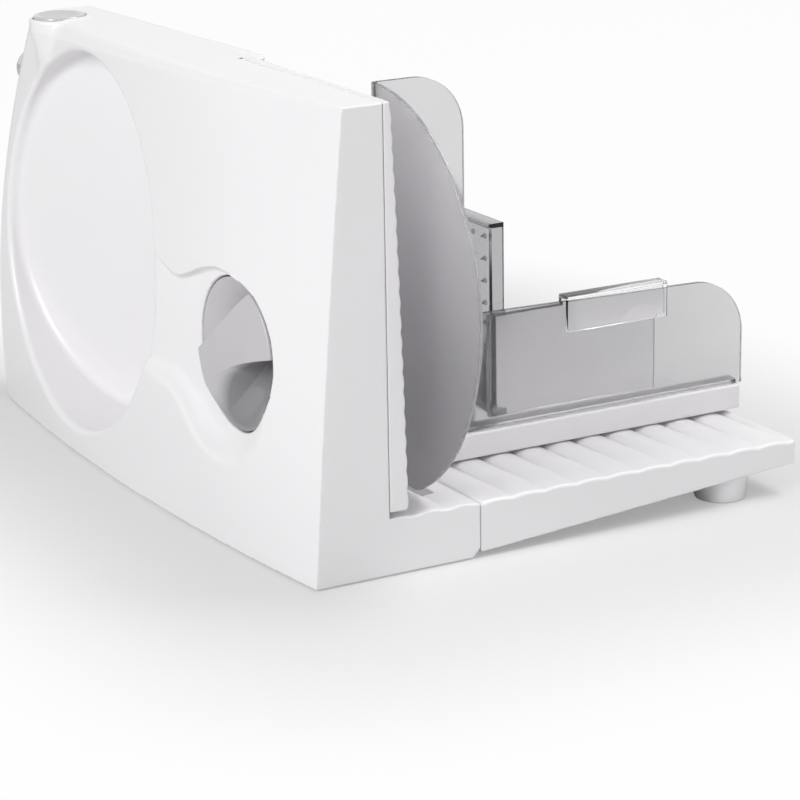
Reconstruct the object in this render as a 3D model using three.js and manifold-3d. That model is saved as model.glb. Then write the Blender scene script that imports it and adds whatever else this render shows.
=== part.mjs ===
// Household food slicer: bowed housing, toothed blade with worm drive, stop plate set by a cam knob,
// ribbed folding table, see-through carriage with finger guard, and a sliding pusher.
// Millimetres. +X runs from the slice outlet to the food, +Y from the knob end to the switch end, +Z up.

import * as THREE from 'three';
import { mergeVertices } from 'three/addons/utils/BufferGeometryUtils.js';
import Module from 'manifold-3d';

const wasm = await Module();
wasm.setup();

// Clearances
const FIT = 0.3; // between pieces that rest on or in one another
const RUN = 0.15; // radial, between turning pieces and what they turn on
const SLIDE = 0.4; // between sliding pieces and their guides
const THROUGH = 120; // cutting solids run on this far past what they cut

// Housing
const BODY_LENGTH = 340;
const BODY_HEIGHT = 200;
const TOP_FALL = 3; // the top drops this much towards the switch end
const BACK_LEAN = 16.6; // the back leans this far towards the food over its height
const BACK_BOW = 10; // the back bulges this far at mid length
const BACK_BELLY = 7; // and this much more at mid height by the switch end
const FAR_END_LEAN = 26.2;
const FAR_END_BULGE = 10.7; // the far end stands out this far at mid height
const FAR_CORNER = 14;
const FRONT_CORNER = 6;
const TIGHT_CORNER = 3; // least radius of these corners where the top rounds over
const TOP_EDGE_NEAR = 1.2;
const TOP_EDGE_FAR = 9;
const TOP_EDGE_FRONT = 2; // the top's edge above the blade is this many times as broad
const KNOB_END_DEPTH = 35.5; // front face beside the stop plate
const BLADE_END_DEPTH = 54; // front face behind the blade
const WALL = 2.5;
const COVER_THICK = 2.5;
const COVER_LEDGE = 4;
const COVER_CORNER = 16;
const GUIDE_WINDOW_HALF = 59; // half length of the opening behind the stop plate, about the knob axis
const GUIDE_WINDOW_DROP = 14; // its upper edge below the housing's top
const DRIVE_WINDOW_RISE = 18; // lower edge of the motor opening above the motor's foot
const DRIVE_WINDOW_ABOVE = 62; // its upper edge above the blade axis

// Base, base plate and feet
const FOOT_SHOWN = 0.6;
const BASE_PLATE = 2;
const PAD_RADIUS = 8;
const PAD_SUNK = 0.9;
const PAD_FROM_END = 22;
const PAD_FROM_SIDE = 15;
const TABLE_LEVEL = 25.5;
const STRIP_EDGE = 79; // seam between base strip and table
const STRIP_CHAMFER = 3;
const RIB_PITCH = 16;
const RIB_DEPTH = 1.2;
const TABLE_CROWN = 0.4; // the table falls this much from its middle to its edges

// Folding table
const SEAM = 0.5;
const TABLE_REACH = 165;
const TABLE_SHORTER = 10; // the table stops this far short of the body's length
const TABLE_UNDER_SEAM = 2.2; // height of its underside at the seam
const TABLE_UNDER_EDGE = 14; // height of its underside at the outer edge
const HINGE_FROM_SEAM = 2;
const HINGE_LOW = 5; // hinge axis below table level
const HINGE_PIN_RADIUS = 1.6;
const LUG_RADIUS = 4;
const LUG_LENGTH = 24;
const LUG_NEAR = 110;
const LUG_SPACING = 160;
const HINGE_CHEEK = 9; // housing material that holds the pin on each side of a lug
const TABLE_FOOT_RADIUS = 10.5;
const TABLE_FOOT_TIP = 8.5;
const TABLE_FOOT_INSET = 32; // from the outer edge
const TABLE_FOOT_FROM_END = 14;

// Blade and its drive
const BLADE_RADIUS = 85;
const BLADE_THICK = 1.8;
const BLADE_FACE = 58; // X of the cutting plane
const BLADE_ALONG = 230; // blade axis from the knob end
const BLADE_DIP = 9.5; // below table level
const BLADE_TEETH = 44;
const BLADE_TOOTH_DEPTH = 1.6;
const BLADE_BEVEL = 7;
const BLADE_HUB_RADIUS = 12;
const BLADE_AXLE_RADIUS = 5;
const BLADE_LOCK_RADIUS = 15;
const BLADE_LOCK_THICK = 1.4;
const GEAR_MODULE = 2;
const BLADE_GEAR_TEETH = 46;
const PINION_TEETH = 11;
const GEAR_BACKLASH = 0.25; // added to the distance between gear axes
const GEAR_WIDTH = 5;
const GEAR_ROOM = 1.5; // between the blade gear's teeth and the recess round it
const WHEEL_MODULE = 1;
const WHEEL_TEETH = 32;
const WHEEL_WIDTH = 9;
const WORM_PITCH_RADIUS = 5;
const WORM_TURNS = 4;
const WORM_PLANE = 28.5; // X of the motor shaft and the worm wheel's middle
const IDLER_AXLE_RADIUS = 2.5;
const AXLE_BOSS_WALL = 3;
const AXLE_SEAT = 10;
const IDLER_SEAT = 5;
const MOTOR_RADIUS = 14;
const MOTOR_CAN_WALL = 1.2;
const MOTOR_LENGTH = 56;
const MOTOR_BOTTOM = 16;
const MOTOR_CAP = 5;
const MAGNET_THICK = 2.2;
const AIR_GAP = 0.6;
const SHAFT_RADIUS = 1.6;
const BEARING_RADIUS = 4;
const BEARING_LENGTH = 5;
const RIB = 3;

// Slice outlet: dish and deflector behind the blade
const DISH_MARGIN = 3; // dish radius over the blade's
const DEFLECTOR_LEAD = 72; // its leading edge lies this far from the blade axis
const DEFLECTOR_NEAR_DEPTH = 51; // X of the dish floor at the leading edge
const DEFLECTOR_FAR_DEPTH = 8.5; // X of the dish floor at the far rim

// Thickness knob, cam drum and stop plate
const KNOB_ALONG = 69;
const KNOB_HEIGHT = 85;
const KNOB_RADIUS = 31.4;
const KNOB_GAP = 0.6;
const KNOB_FACE = 5; // X of the grip bar's face
const KNOB_BAR_HEIGHT = 8;
const KNOB_BAR_WIDTH = 32;
const KNOB_DOME_RADIUS = 83;
const KNOB_BAR_ANGLE = 36; // degrees above level, rising towards the knob end
const KNOB_DISC = 3.5;
const DRUM_RADIUS = 9;
const CAM_PIN_RADIUS = 1.6;
const CAM_GROOVE_DEPTH = 2.4;
const CAM_TURN = 300; // degrees
const STOP_TRAVEL = 14;
const SLEEVE_WALL = 2.2;
const STOP_LENGTH = 139;
const STOP_TOP = 201;
const STOP_FLOOR_GAP = 2.3;
const STOP_THICK_TOP = 3.4;
const STOP_THICK_BOTTOM = 9;
const STOP_SKIN = 2.4;
const STOP_RIB_PITCH = 8.5;
const STOP_RIB_DEPTH = 1.1;
const STOP_CROWN = 0.6; // the ribbed face bulges this much at half height
const STOP_CORNER = 20;
const ROD_RADIUS = 3;
const ROD_SPACING_UP = 65;
const ROD_SPACING_DOWN = 43;
const ROD_REACH = 24; // behind the stop plate
const ROD_SOCKET_WALL = 2.5;
const ROD_BUSH = 3;

// Scoop between the slice outlet and the knob
const SCOOP_RISE = 24; // upper edge above the knob axis, at the outlet
const SCOOP_DROP = 29; // lower edge below the knob axis, at the outlet
const SCOOP_LIP = 13; // rim below the knob hole
const SCOOP_CREST = 4; // rim above the knob hole
const SCOOP_DEPTH = 17; // X of the scoop floor at the outlet

// Switches
const BUTTON_RADIUS = 12.3;
const BUTTON_RIM = 3;
const BUTTON_ALONG = 283;
const BUTTON_ACROSS = 16;
const BUTTON_SHOWN = 1.6;
const BUTTON_THICK = 5;
const BUTTON_TRAVEL = 3;
const BUTTON_BOSS_HEIGHT = 34;
const BUTTON_STEM_RADIUS = 3;
const SAFETY_RADIUS = 9;
const SAFETY_DROP = 34; // safety button's axis below the housing's top
const SAFETY_HEIGHT = BODY_HEIGHT - SAFETY_DROP;
const SAFETY_ACROSS = 24;
const SAFETY_COLLAR = 1.2;
const SAFETY_SHOWN = 7.5;
const SAFETY_DEPTH = 11;
const SAFETY_SPRING = 8;
const SWITCH_SIZE = new THREE.Vector3(12, 18, 7);
const SWITCH_SHIFT = new THREE.Vector2(2, 8); // of the switch's middle from the button's axis
const BUTTON_SPRING = 8; // length of the return spring at rest
const BUTTON_SPRING_RADIUS = 6;
const SPRING_WIRE = 0.45;
const SPRING_COILS = 4;
const GROMMET_RADIUS = 6;
const GROMMET_BORE = 3.3;
const GROMMET_FLANGE = 2.5;
const GROMMET_HEIGHT = 15;
const GROMMET_ACROSS = 25;

// Carriage and finger guard
const GUARD_PLANE = 60;
const GUARD_THICK = 2.4;
const GUARD_RADIUS = 87;
const GUARD_AXIS_HEIGHT = 112;
const SHIELD_ALONG = 52; // near face of the wall
const SHIELD_THICK = 2.5;
const SHIELD_REACH = 250;
const SHIELD_LOW_TOP = 90.5;
const SHIELD_LOW_CORNER = 26;
const SHIELD_TALL_TOP = 197.5;
const SHIELD_TALL_EDGE = 103;
const SHIELD_TALL_CORNER = 24;
const SHIELD_INNER_CORNER = 8;
const FLANGE_DEPTH = 9;
const FLANGE_THICK = 2.4;
const BEAM_HEIGHT = 11.6;
const BEAM_DEPTH = 15;
const BEAM_STEP = 2; // beam's near face before the wall's
const KEEL_WIDTH = 5;
const KEEL_DEPTH = 8;
const KEEL_LENGTH = 70;
const CARRIAGE_BACK = 30;
const CARRIAGE_FORTH = 185;

// Pusher
const PUSHER_PANEL_LEFT = 118;
const PUSHER_PANEL_RIGHT = 203;
const PUSHER_PANEL_LOW = 42;
const PUSHER_PLATE_AT = 124;
const PUSHER_THICK = 2.4;
const PUSHER_RIM = 6;
const PUSHER_CORNER = 4;
const PANEL_DROP = 1.5; // panel's upper edge below the carriage wall's
const PUSHER_REACH = 95;
const PUSHER_TOP = 130;
const PUSHER_LOW = 30;
const SPIKE_RADIUS = 1.3;
const SPIKE_HEIGHT = 2.6;
const SPIKE_PITCH = 11;
const SPIKE_MARGIN = 7; // from the plate's edges to the outer spikes
const GRIP_LEFT = 154;
const GRIP_RIGHT = 207;
const GRIP_THICK = 2;
const GRIP_DROP = 14;

// Places worked out from the sizes above
const AXIS_X = new THREE.Vector3(1, 0, 0);
const bladeHeight = TABLE_LEVEL + BLADE_RADIUS - BLADE_DIP;
const dishRadius = BLADE_RADIUS + DISH_MARGIN;
const bladeBack = BLADE_FACE - BLADE_THICK;
const gearDistance = (GEAR_MODULE * (BLADE_GEAR_TEETH + PINION_TEETH)) / 2 + GEAR_BACKLASH;
const idlerAlong = BLADE_ALONG + gearDistance;
const wheelRadius = (WHEEL_MODULE * WHEEL_TEETH) / 2;
const wormPitch = Math.PI * WHEEL_MODULE;
const motorAlong = idlerAlong + wheelRadius + WORM_PITCH_RADIUS + GEAR_BACKLASH;
const coverFront = bladeBack - GEAR_WIDTH - 2 * FIT - 1;
const coverBack = coverFront - COVER_THICK;
const panelBack = KNOB_END_DEPTH - COVER_THICK;
const bodyBottom = FOOT_SHOWN + BASE_PLATE + FIT;
const knobHoleRadius = KNOB_RADIUS + KNOB_GAP;
const knobBack = KNOB_FACE + KNOB_BAR_HEIGHT + KNOB_DISC;
const knobWellFloor = knobBack + KNOB_GAP;
const stopBack = KNOB_END_DEPTH + KNOB_GAP;
const stopBottom = TABLE_LEVEL + STOP_FLOOR_GAP;
const drumEnd = stopBack + 2;
const tableLength = BODY_LENGTH - TABLE_SHORTER;
const hinge = { x: STRIP_EDGE - HINGE_FROM_SEAM, z: TABLE_LEVEL - HINGE_LOW };
const lugPlaces = [LUG_NEAR, LUG_NEAR + LUG_SPACING];
const keelLeft = GUARD_PLANE + GUARD_THICK + SLIDE;
const beamBottom = TABLE_LEVEL + FIT;
const beamTop = beamBottom + BEAM_HEIGHT;
const gearTip = GEAR_MODULE * (BLADE_GEAR_TEETH / 2 + 1);
const deflectorSlope = (DEFLECTOR_NEAR_DEPTH - DEFLECTOR_FAR_DEPTH) / (DEFLECTOR_LEAD + dishRadius);

// Shape of the housing's back and far end
function bow(y) {
  const half = BODY_LENGTH / 2;
  return BACK_BOW * (1 - ((y - half) / half) ** 2);
}

// Rises from nothing at the foot and top to one at mid height
function swell(z) {
  const level = z / BODY_HEIGHT;
  return 4 * level * (1 - level);
}

function backX(y, z) {
  return (BACK_LEAN * z) / BODY_HEIGHT - bow(y) - BACK_BELLY * (y / BODY_LENGTH) ** 2 * swell(z);
}

function farY(z) {
  return BODY_LENGTH - (FAR_END_LEAN * z) / BODY_HEIGHT + FAR_END_BULGE * swell(z);
}

function topZ(y) {
  return BODY_HEIGHT - (TOP_FALL * y) / BODY_LENGTH;
}

function dishFloorX(y) {
  return DEFLECTOR_NEAR_DEPTH - deflectorSlope * (y - (BLADE_ALONG - DEFLECTOR_LEAD));
}

// Solids from three.js geometries, joined and cut as manifolds
function solid(geometry) {
  const bare = new THREE.BufferGeometry();
  const snapped = Float32Array.from(geometry.getAttribute('position').array,
    (v) => Math.round(v * 1e3) / 1e3);
  bare.setAttribute('position', new THREE.BufferAttribute(snapped, 3));
  bare.setIndex(geometry.getIndex());
  const merged = mergeVertices(bare, 1e-4);
  const index = merged.getIndex().array;
  const triangles = [];
  for (let i = 0; i < index.length; i += 3) {
    const [a, b, c] = [index[i], index[i + 1], index[i + 2]];
    if (a !== b && b !== c && c !== a) triangles.push(a, b, c);
  }
  return new wasm.Manifold(new wasm.Mesh({
    numProp: 3,
    vertProperties: new Float32Array(merged.getAttribute('position').array),
    triVerts: new Uint32Array(triangles),
  }));
}

function union(...solids) {
  return solids.reduce((sum, next) => sum.add(next));
}

function box(x0, x1, y0, y1, z0, z1) {
  const geometry = new THREE.BoxGeometry(x1 - x0, y1 - y0, z1 - z0);
  return solid(geometry.translate((x0 + x1) / 2, (y0 + y1) / 2, (z0 + z1) / 2));
}

// Sides of a round section, by its radius
function facets(radius) {
  return Math.min(44, 4 * Math.max(3, Math.ceil(1.5 * Math.sqrt(radius))));
}

// Cone or cylinder along X, Y or Z; u and v are the other two coordinates in X, Y, Z order
function round(axis, u, v, from, to, radius, endRadius = radius, sides = facets(Math.max(radius,
  endRadius))) {
  const geometry = new THREE.CylinderGeometry(endRadius, radius, to - from, sides);
  geometry.translate(0, (from + to) / 2, 0);
  if (axis === 'x') geometry.rotateZ(-Math.PI / 2).translate(0, u, v);
  if (axis === 'y') geometry.translate(u, 0, v);
  if (axis === 'z') geometry.rotateX(Math.PI / 2).translate(u, v, 0);
  return solid(geometry);
}

// Turned solid along X, Y or Z; the profile is pairs of place along the axis and radius
function turned(axis, u, v, profile) {
  const points = profile.map(([along, radius]) => new THREE.Vector2(radius, along));
  const geometry = new THREE.LatheGeometry(points, facets(Math.max(...profile.map((p) => p[1]))));
  if (axis === 'x') geometry.rotateZ(-Math.PI / 2).translate(0, u, v);
  if (axis === 'y') geometry.translate(u, 0, v);
  if (axis === 'z') geometry.rotateX(Math.PI / 2).translate(u, v, 0);
  return solid(geometry);
}

// Outline in the YZ plane, drawn out along X
function prismX(shape, from, to, curveSegments = 12) {
  const geometry = new THREE.ExtrudeGeometry(shape, { depth: to - from, bevelEnabled: false,
    curveSegments });
  const turn = new THREE.Matrix4().makeBasis(
    new THREE.Vector3(0, 1, 0), new THREE.Vector3(0, 0, 1), AXIS_X);
  return solid(geometry.applyMatrix4(turn).translate(from, 0, 0));
}

// Profile in the XZ plane, drawn out along Y
function prismY(shape, from, to, curveSegments = 12) {
  const geometry = new THREE.ExtrudeGeometry(shape, { depth: to - from, bevelEnabled: false,
    curveSegments });
  const turn = new THREE.Matrix4().makeBasis(
    AXIS_X, new THREE.Vector3(0, 0, 1), new THREE.Vector3(0, -1, 0));
  return solid(geometry.applyMatrix4(turn).translate(0, to, 0));
}

// Skin over closed rings of equal length, each seen counter-clockwise from the last ring's side
function loft(rings) {
  const count = rings[0].length;
  const points = rings.flat();
  const faces = [];
  for (let r = 0; r + 1 < rings.length; r += 1) {
    for (let i = 0; i < count; i += 1) {
      const j = (i + 1) % count;
      const [a, b, c, d] = [r * count + i, r * count + j, (r + 1) * count + j, (r + 1) * count + i];
      faces.push(a, b, c, a, c, d);
    }
  }
  const flat = (ring) => ring.map((p) => new THREE.Vector2(p.x, p.y));
  const last = (rings.length - 1) * count;
  for (const [a, b, c] of THREE.ShapeUtils.triangulateShape(flat(rings[0]), [])) faces.push(a, c, b);
  for (const [a, b, c] of THREE.ShapeUtils.triangulateShape(flat(rings[rings.length - 1]), [])) {
    faces.push(last + a, last + b, last + c);
  }
  const geometry = new THREE.BufferGeometry().setFromPoints(points);
  geometry.setIndex(faces);
  return solid(geometry);
}

function roundedRect(u0, u1, v0, v1, radius) {
  const shape = new THREE.Shape();
  shape.moveTo(u0 + radius, v0);
  shape.lineTo(u1 - radius, v0);
  shape.absarc(u1 - radius, v0 + radius, radius, -Math.PI / 2, 0);
  shape.lineTo(u1, v1 - radius);
  shape.absarc(u1 - radius, v1 - radius, radius, 0, Math.PI / 2);
  shape.lineTo(u0 + radius, v1);
  shape.absarc(u0 + radius, v1 - radius, radius, Math.PI / 2, Math.PI);
  shape.lineTo(u0, v0 + radius);
  shape.absarc(u0 + radius, v0 + radius, radius, Math.PI, 1.5 * Math.PI);
  return shape;
}

// Plan of the housing at one height; level 0 is its foot and 1 its top. Outline gives the front faces,
// the step between them, the far corner's radius and how far the skin is drawn inwards at back and front
function planRing(level, outline, ease) {
  const { bottom, near, far, step, back, front } = outline;
  const height = (y) => bottom + level * (topZ(y) - bottom);
  const place = (x, y) => new THREE.Vector3(x, y, height(y));
  const edge = (y) => ease * (TOP_EDGE_NEAR + ((TOP_EDGE_FAR - TOP_EDGE_NEAR) * y) / BODY_LENGTH);
  const corner = Math.max(outline.corner - edge(BODY_LENGTH), TIGHT_CORNER);
  const frontCorner = Math.max(FRONT_CORNER - edge(BODY_LENGTH), TIGHT_CORNER);
  const start = back + edge(0);
  const end = farY(height(BODY_LENGTH)) - back - edge(BODY_LENGTH);
  const backAt = (y) => backX(y, height(y)) + back + edge(y);
  const frontAt = (x, y) => x - front * edge(y);
  const nearFrontAt = (x, y) => x - edge(y);
  const points = [];
  const spans = 10;
  for (let i = 0; i <= spans; i += 1) {
    const y = start + ((end - corner - start) * i) / spans;
    points.push(place(backAt(y), y));
  }
  const cornerX = backAt(end);
  const leftCurve = new THREE.QuadraticBezierCurve(
    new THREE.Vector2(points.at(-1).x, end - corner), new THREE.Vector2(cornerX, end),
    new THREE.Vector2(cornerX + corner, end));
  for (const p of leftCurve.getPoints(4).slice(1)) points.push(place(p.x, p.y));
  const right = frontAt(far, end);
  const rightCurve = new THREE.QuadraticBezierCurve(
    new THREE.Vector2(right - frontCorner, end), new THREE.Vector2(right, end),
    new THREE.Vector2(right, end - frontCorner));
  for (const p of rightCurve.getPoints(2)) points.push(place(p.x, p.y));
  points.push(place(frontAt(far, step), step));
  points.push(place(nearFrontAt(near, step), step));
  points.push(place(nearFrontAt(near, start), start));
  return points.reverse();
}

function housingBlank(outline, topDrop) {
  const span = BODY_HEIGHT - outline.bottom;
  const level = (drop) => (span - topDrop - drop) / span;
  const shoulder = level(TOP_EDGE_FAR * 0.8);
  const sides = [0, 0.2, 0.42, 0.7, 1].map((share) => planRing(share * shoulder, outline, 0));
  return loft([
    ...sides,
    planRing(level(TOP_EDGE_FAR * 0.25), outline, 0.3),
    planRing(level(0), outline, 1),
  ]);
}

const outerOutline = {
  bottom: bodyBottom,
  near: KNOB_END_DEPTH,
  far: BLADE_END_DEPTH,
  step: BLADE_ALONG - BLADE_RADIUS,
  corner: FAR_CORNER,
  back: 0,
  front: TOP_EDGE_FRONT,
};

const hollowOutline = {
  bottom: bodyBottom - 1,
  near: KNOB_END_DEPTH - WALL,
  far: BLADE_END_DEPTH - WALL,
  step: BLADE_ALONG - BLADE_RADIUS + WALL,
  corner: FAR_CORNER - WALL,
  back: WALL,
  front: TOP_EDGE_FRONT,
};

// Wavy top of the base strip and the table: round ribs with sharp valleys between them
function ribbedTop(from, to) {
  const steps = Math.round(((to - from) / RIB_PITCH) * 6);
  const points = [];
  for (let i = 0; i <= steps; i += 1) {
    const x = to + ((from - to) * i) / steps;
    const wave = Math.abs(Math.sin((Math.PI * (x - STRIP_EDGE)) / RIB_PITCH));
    const fall = TABLE_CROWN * ((2 * i) / steps - 1) ** 2;
    points.push(new THREE.Vector2(x, TABLE_LEVEL - fall - RIB_DEPTH * (1 - wave)));
  }
  return points;
}

// Slice outlet: a round pocket whose sloping floor starts behind the blade's edge
function dishPocket(grow) {
  const drum = round('x', BLADE_ALONG, bladeHeight, -THROUGH, BLADE_END_DEPTH + THROUGH / 2,
    dishRadius + grow);
  const lead = BLADE_ALONG - DEFLECTOR_LEAD + grow;
  const far = BODY_LENGTH + THROUGH;
  const floor = new THREE.Shape([
    new THREE.Vector2(dishFloorX(lead) + grow, lead),
    new THREE.Vector2(BLADE_END_DEPTH + THROUGH, lead),
    new THREE.Vector2(BLADE_END_DEPTH + THROUGH, far),
    new THREE.Vector2(dishFloorX(far) + grow, far),
  ]);
  const wedge = new THREE.ExtrudeGeometry(floor, { depth: BODY_HEIGHT + 2 * THROUGH, bevelEnabled: false });
  return drum.subtract(solid(wedge.translate(0, 0, -THROUGH)));
}

// Valley from the slice outlet to the knob, deepest at the outlet
function scoopPocket(grow) {
  const outlet = BLADE_ALONG - DEFLECTOR_LEAD;
  const rim = knobHoleRadius + grow;
  const upper = KNOB_HEIGHT + SCOOP_RISE + grow;
  const lower = KNOB_HEIGHT - SCOOP_DROP - grow;
  const crest = KNOB_HEIGHT + rim + SCOOP_CREST;
  const lip = KNOB_HEIGHT - rim - SCOOP_LIP;
  const mid = (KNOB_ALONG + outlet) / 2;
  const shape = new THREE.Shape();
  shape.moveTo(outlet, upper);
  shape.bezierCurveTo(mid + 12, upper, mid + 2, crest, KNOB_ALONG + rim * 0.6, crest);
  shape.bezierCurveTo(KNOB_ALONG - rim * 0.3, crest, KNOB_ALONG - rim, KNOB_HEIGHT + rim * 0.7,
    KNOB_ALONG - rim, KNOB_HEIGHT);
  shape.bezierCurveTo(KNOB_ALONG - rim, KNOB_HEIGHT - rim, KNOB_ALONG - rim * 0.5, lip,
    KNOB_ALONG + rim * 0.3, lip);
  shape.bezierCurveTo(mid, lip, mid, lower, outlet, lower);
  const flush = backX(KNOB_ALONG - knobHoleRadius, KNOB_HEIGHT);
  const tilt = Math.atan2(SCOOP_DEPTH - flush, outlet - KNOB_ALONG + knobHoleRadius);
  const deep = prismX(shape, -THROUGH, 0, 6);
  const bottom = (SCOOP_DEPTH + grow) / Math.cos(tilt);
  return deep.translate([0, -outlet, 0])
    .rotate([0, 0, (-tilt * 180) / Math.PI])
    .translate([bottom, outlet, 0]);
}

function knobWell(grow) {
  return round('x', KNOB_ALONG, KNOB_HEIGHT, -THROUGH, knobWellFloor + grow, knobHoleRadius + grow);
}

// Hollow of the housing, walled off from the dish, the scoop and the knob well
function housingHollow() {
  return housingBlank(hollowOutline, WALL)
    .subtract(dishPocket(WALL))
    .subtract(scoopPocket(WALL))
    .subtract(knobWell(WALL));
}

function stripHollow() {
  const roof = TABLE_LEVEL - RIB_DEPTH - WALL;
  const keelRight = keelLeft + KEEL_WIDTH + SLIDE;
  const trough = TABLE_LEVEL - KEEL_DEPTH - WALL - 2 * FIT;
  const end = farY(TABLE_LEVEL) - 2 * WALL;
  const under = bodyBottom - 1;
  const tall = box(panelBack - WALL, BLADE_FACE, WALL, end, under, roof);
  const low = box(BLADE_FACE - 1, STRIP_EDGE - WALL, WALL, end, under, trough);
  const slotWalls = bladeSlot(WALL);
  const seat = box(keelRight, STRIP_EDGE, -1, BODY_LENGTH, trough, BODY_HEIGHT);
  return union(tall, low).subtract(slotWalls).subtract(seat).subtract(dishPocket(WALL));
}

// Slot in the base strip for the part of the blade that dips below the table
function bladeSlot(grow) {
  const reach = Math.sqrt(BLADE_RADIUS ** 2 - (BLADE_RADIUS - BLADE_DIP) ** 2) + 6 + grow;
  return box(BLADE_END_DEPTH - grow, GUARD_PLANE + FIT + grow, BLADE_ALONG - reach, BLADE_ALONG + reach,
    bladeHeight - BLADE_RADIUS - 2 - grow, TABLE_LEVEL + 0.01);
}

// Flat covers and the stepped windows that they sit in
function coverOutline(cover, grow) {
  return roundedRect(cover.near - grow, cover.far + grow, cover.low - grow, cover.high + grow,
    COVER_CORNER);
}

const guideWindow = {
  near: KNOB_ALONG - GUIDE_WINDOW_HALF,
  far: KNOB_ALONG + GUIDE_WINDOW_HALF,
  low: KNOB_HEIGHT - ROD_SPACING_DOWN - ROD_RADIUS - ROD_BUSH - COVER_LEDGE,
  high: BODY_HEIGHT - GUIDE_WINDOW_DROP,
};
const driveWindow = {
  near: BLADE_ALONG - gearTip - GEAR_ROOM + COVER_LEDGE,
  far: motorAlong + MOTOR_RADIUS,
  low: MOTOR_BOTTOM + DRIVE_WINDOW_RISE,
  high: bladeHeight + DRIVE_WINDOW_ABOVE,
};

function coverFrame(cover, seatX, frontX) {
  return prismX(coverOutline(cover, COVER_LEDGE + FIT + WALL), seatX - FIT - WALL, frontX, 3)
    .subtract(prismX(coverOutline(cover, 0), 0, frontX + 1, 3));
}

// Space on the near side of the leaning far end, set back from it
function insideFarEnd(setBack) {
  const end = [0, 0.2, 0.4, 0.6, 0.8, 1].map((share) => {
    const z = share * BODY_HEIGHT;
    return new THREE.Vector2(farY(z) - setBack, z);
  });
  const outline = new THREE.Shape([new THREE.Vector2(0, 0), ...end, new THREE.Vector2(0, BODY_HEIGHT)]);
  return prismX(outline, 0, THROUGH);
}

function coverRecess(cover, seatX) {
  return prismX(coverOutline(cover, COVER_LEDGE + FIT), seatX - FIT, BLADE_END_DEPTH + 1, 3);
}

function boss(y, z, innerRadius, top) {
  const radius = innerRadius + AXLE_BOSS_WALL;
  return round('x', y, z, dishFloorX(y) + 0.5, top, radius);
}

function motorCradle() {
  const rib = (z, reach) => box(dishFloorX(motorAlong) - 9, WORM_PLANE + 9, motorAlong - reach, farY(z) - 1,
    z, z + RIB);
  const bearingZ = bearingBottom();
  const grip = MOTOR_RADIUS + RIB;
  const ribs = union(rib(MOTOR_BOTTOM + 8, grip), rib(MOTOR_BOTTOM + MOTOR_LENGTH - 14, grip),
    rib(bearingZ + 1, BEARING_RADIUS + RIB));
  const can = round('z', WORM_PLANE, motorAlong, 0, MOTOR_BOTTOM + MOTOR_LENGTH + MOTOR_CAP + 2,
    MOTOR_RADIUS + FIT);
  const mouth = box(WORM_PLANE, coverBack, motorAlong - MOTOR_RADIUS - FIT, motorAlong + MOTOR_RADIUS + FIT,
    0, MOTOR_BOTTOM + MOTOR_LENGTH + MOTOR_CAP);
  const bearing = round('z', WORM_PLANE, motorAlong, bearingZ - 1, bearingZ + BEARING_LENGTH,
    BEARING_RADIUS + FIT);
  const outside = dishPocket(0);
  return ribs.subtract(can).subtract(mouth).subtract(bearing).subtract(outside);
}

function bearingBottom() {
  return bladeHeight + (WORM_TURNS * wormPitch) / 2 + 6;
}

// Base strip under the food, with ribs, keel groove and hinge notches
function baseStrip() {
  const left = KNOB_END_DEPTH - 6;
  const shape = new THREE.Shape([
    new THREE.Vector2(left, bodyBottom),
    new THREE.Vector2(STRIP_EDGE - STRIP_CHAMFER, bodyBottom),
    new THREE.Vector2(STRIP_EDGE, bodyBottom + STRIP_CHAMFER),
    ...ribbedTop(left, STRIP_EDGE),
  ]);
  return prismY(shape, 0, farY(TABLE_LEVEL) - WALL);
}

function keelGroove() {
  return box(keelLeft - SLIDE, keelLeft + KEEL_WIDTH + SLIDE, SHIELD_ALONG - CARRIAGE_BACK - 6,
    SHIELD_ALONG + CARRIAGE_FORTH + KEEL_LENGTH + 4, TABLE_LEVEL - KEEL_DEPTH - 2 * FIT, TABLE_LEVEL + 1);
}

function hingeNotch(y) {
  const notch = box(hinge.x - LUG_RADIUS - SLIDE, STRIP_EDGE + 1, y - SLIDE, y + LUG_LENGTH + SLIDE,
    hinge.z - LUG_RADIUS - SLIDE, TABLE_LEVEL + 1);
  const hole = round('y', hinge.x, hinge.z, y - HINGE_CHEEK, y + LUG_LENGTH + HINGE_CHEEK,
    HINGE_PIN_RADIUS + FIT);
  return notch.add(hole);
}

// Conical corner boss with the well of the push button
function buttonBoss() {
  const top = topZ(BUTTON_ALONG);
  const radius = BUTTON_RADIUS + BUTTON_RIM;
  return round('z', BUTTON_ACROSS, BUTTON_ALONG, top - BUTTON_BOSS_HEIGHT, top, radius * 0.35, radius);
}

function buttonFloor() {
  return topZ(BUTTON_ALONG) + BUTTON_SHOWN - BUTTON_THICK - BUTTON_SPRING;
}

function buttonWell() {
  const top = topZ(BUTTON_ALONG);
  const floor = buttonFloor();
  const lowest = top + BUTTON_SHOWN - BUTTON_THICK - BUTTON_TRAVEL - FIT;
  const bore = (from, radius) => round('z', BUTTON_ACROSS, BUTTON_ALONG, from, top + 5, radius + SLIDE);
  return union(bore(lowest, BUTTON_RADIUS), bore(floor, BUTTON_SPRING_RADIUS + SPRING_WIRE),
    bore(floor - 2 * WALL, BUTTON_STEM_RADIUS));
}

function safetyHole() {
  return round('y', SAFETY_ACROSS, SAFETY_HEIGHT, farY(SAFETY_HEIGHT) - 12, BODY_LENGTH,
    SAFETY_RADIUS + SLIDE);
}

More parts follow.
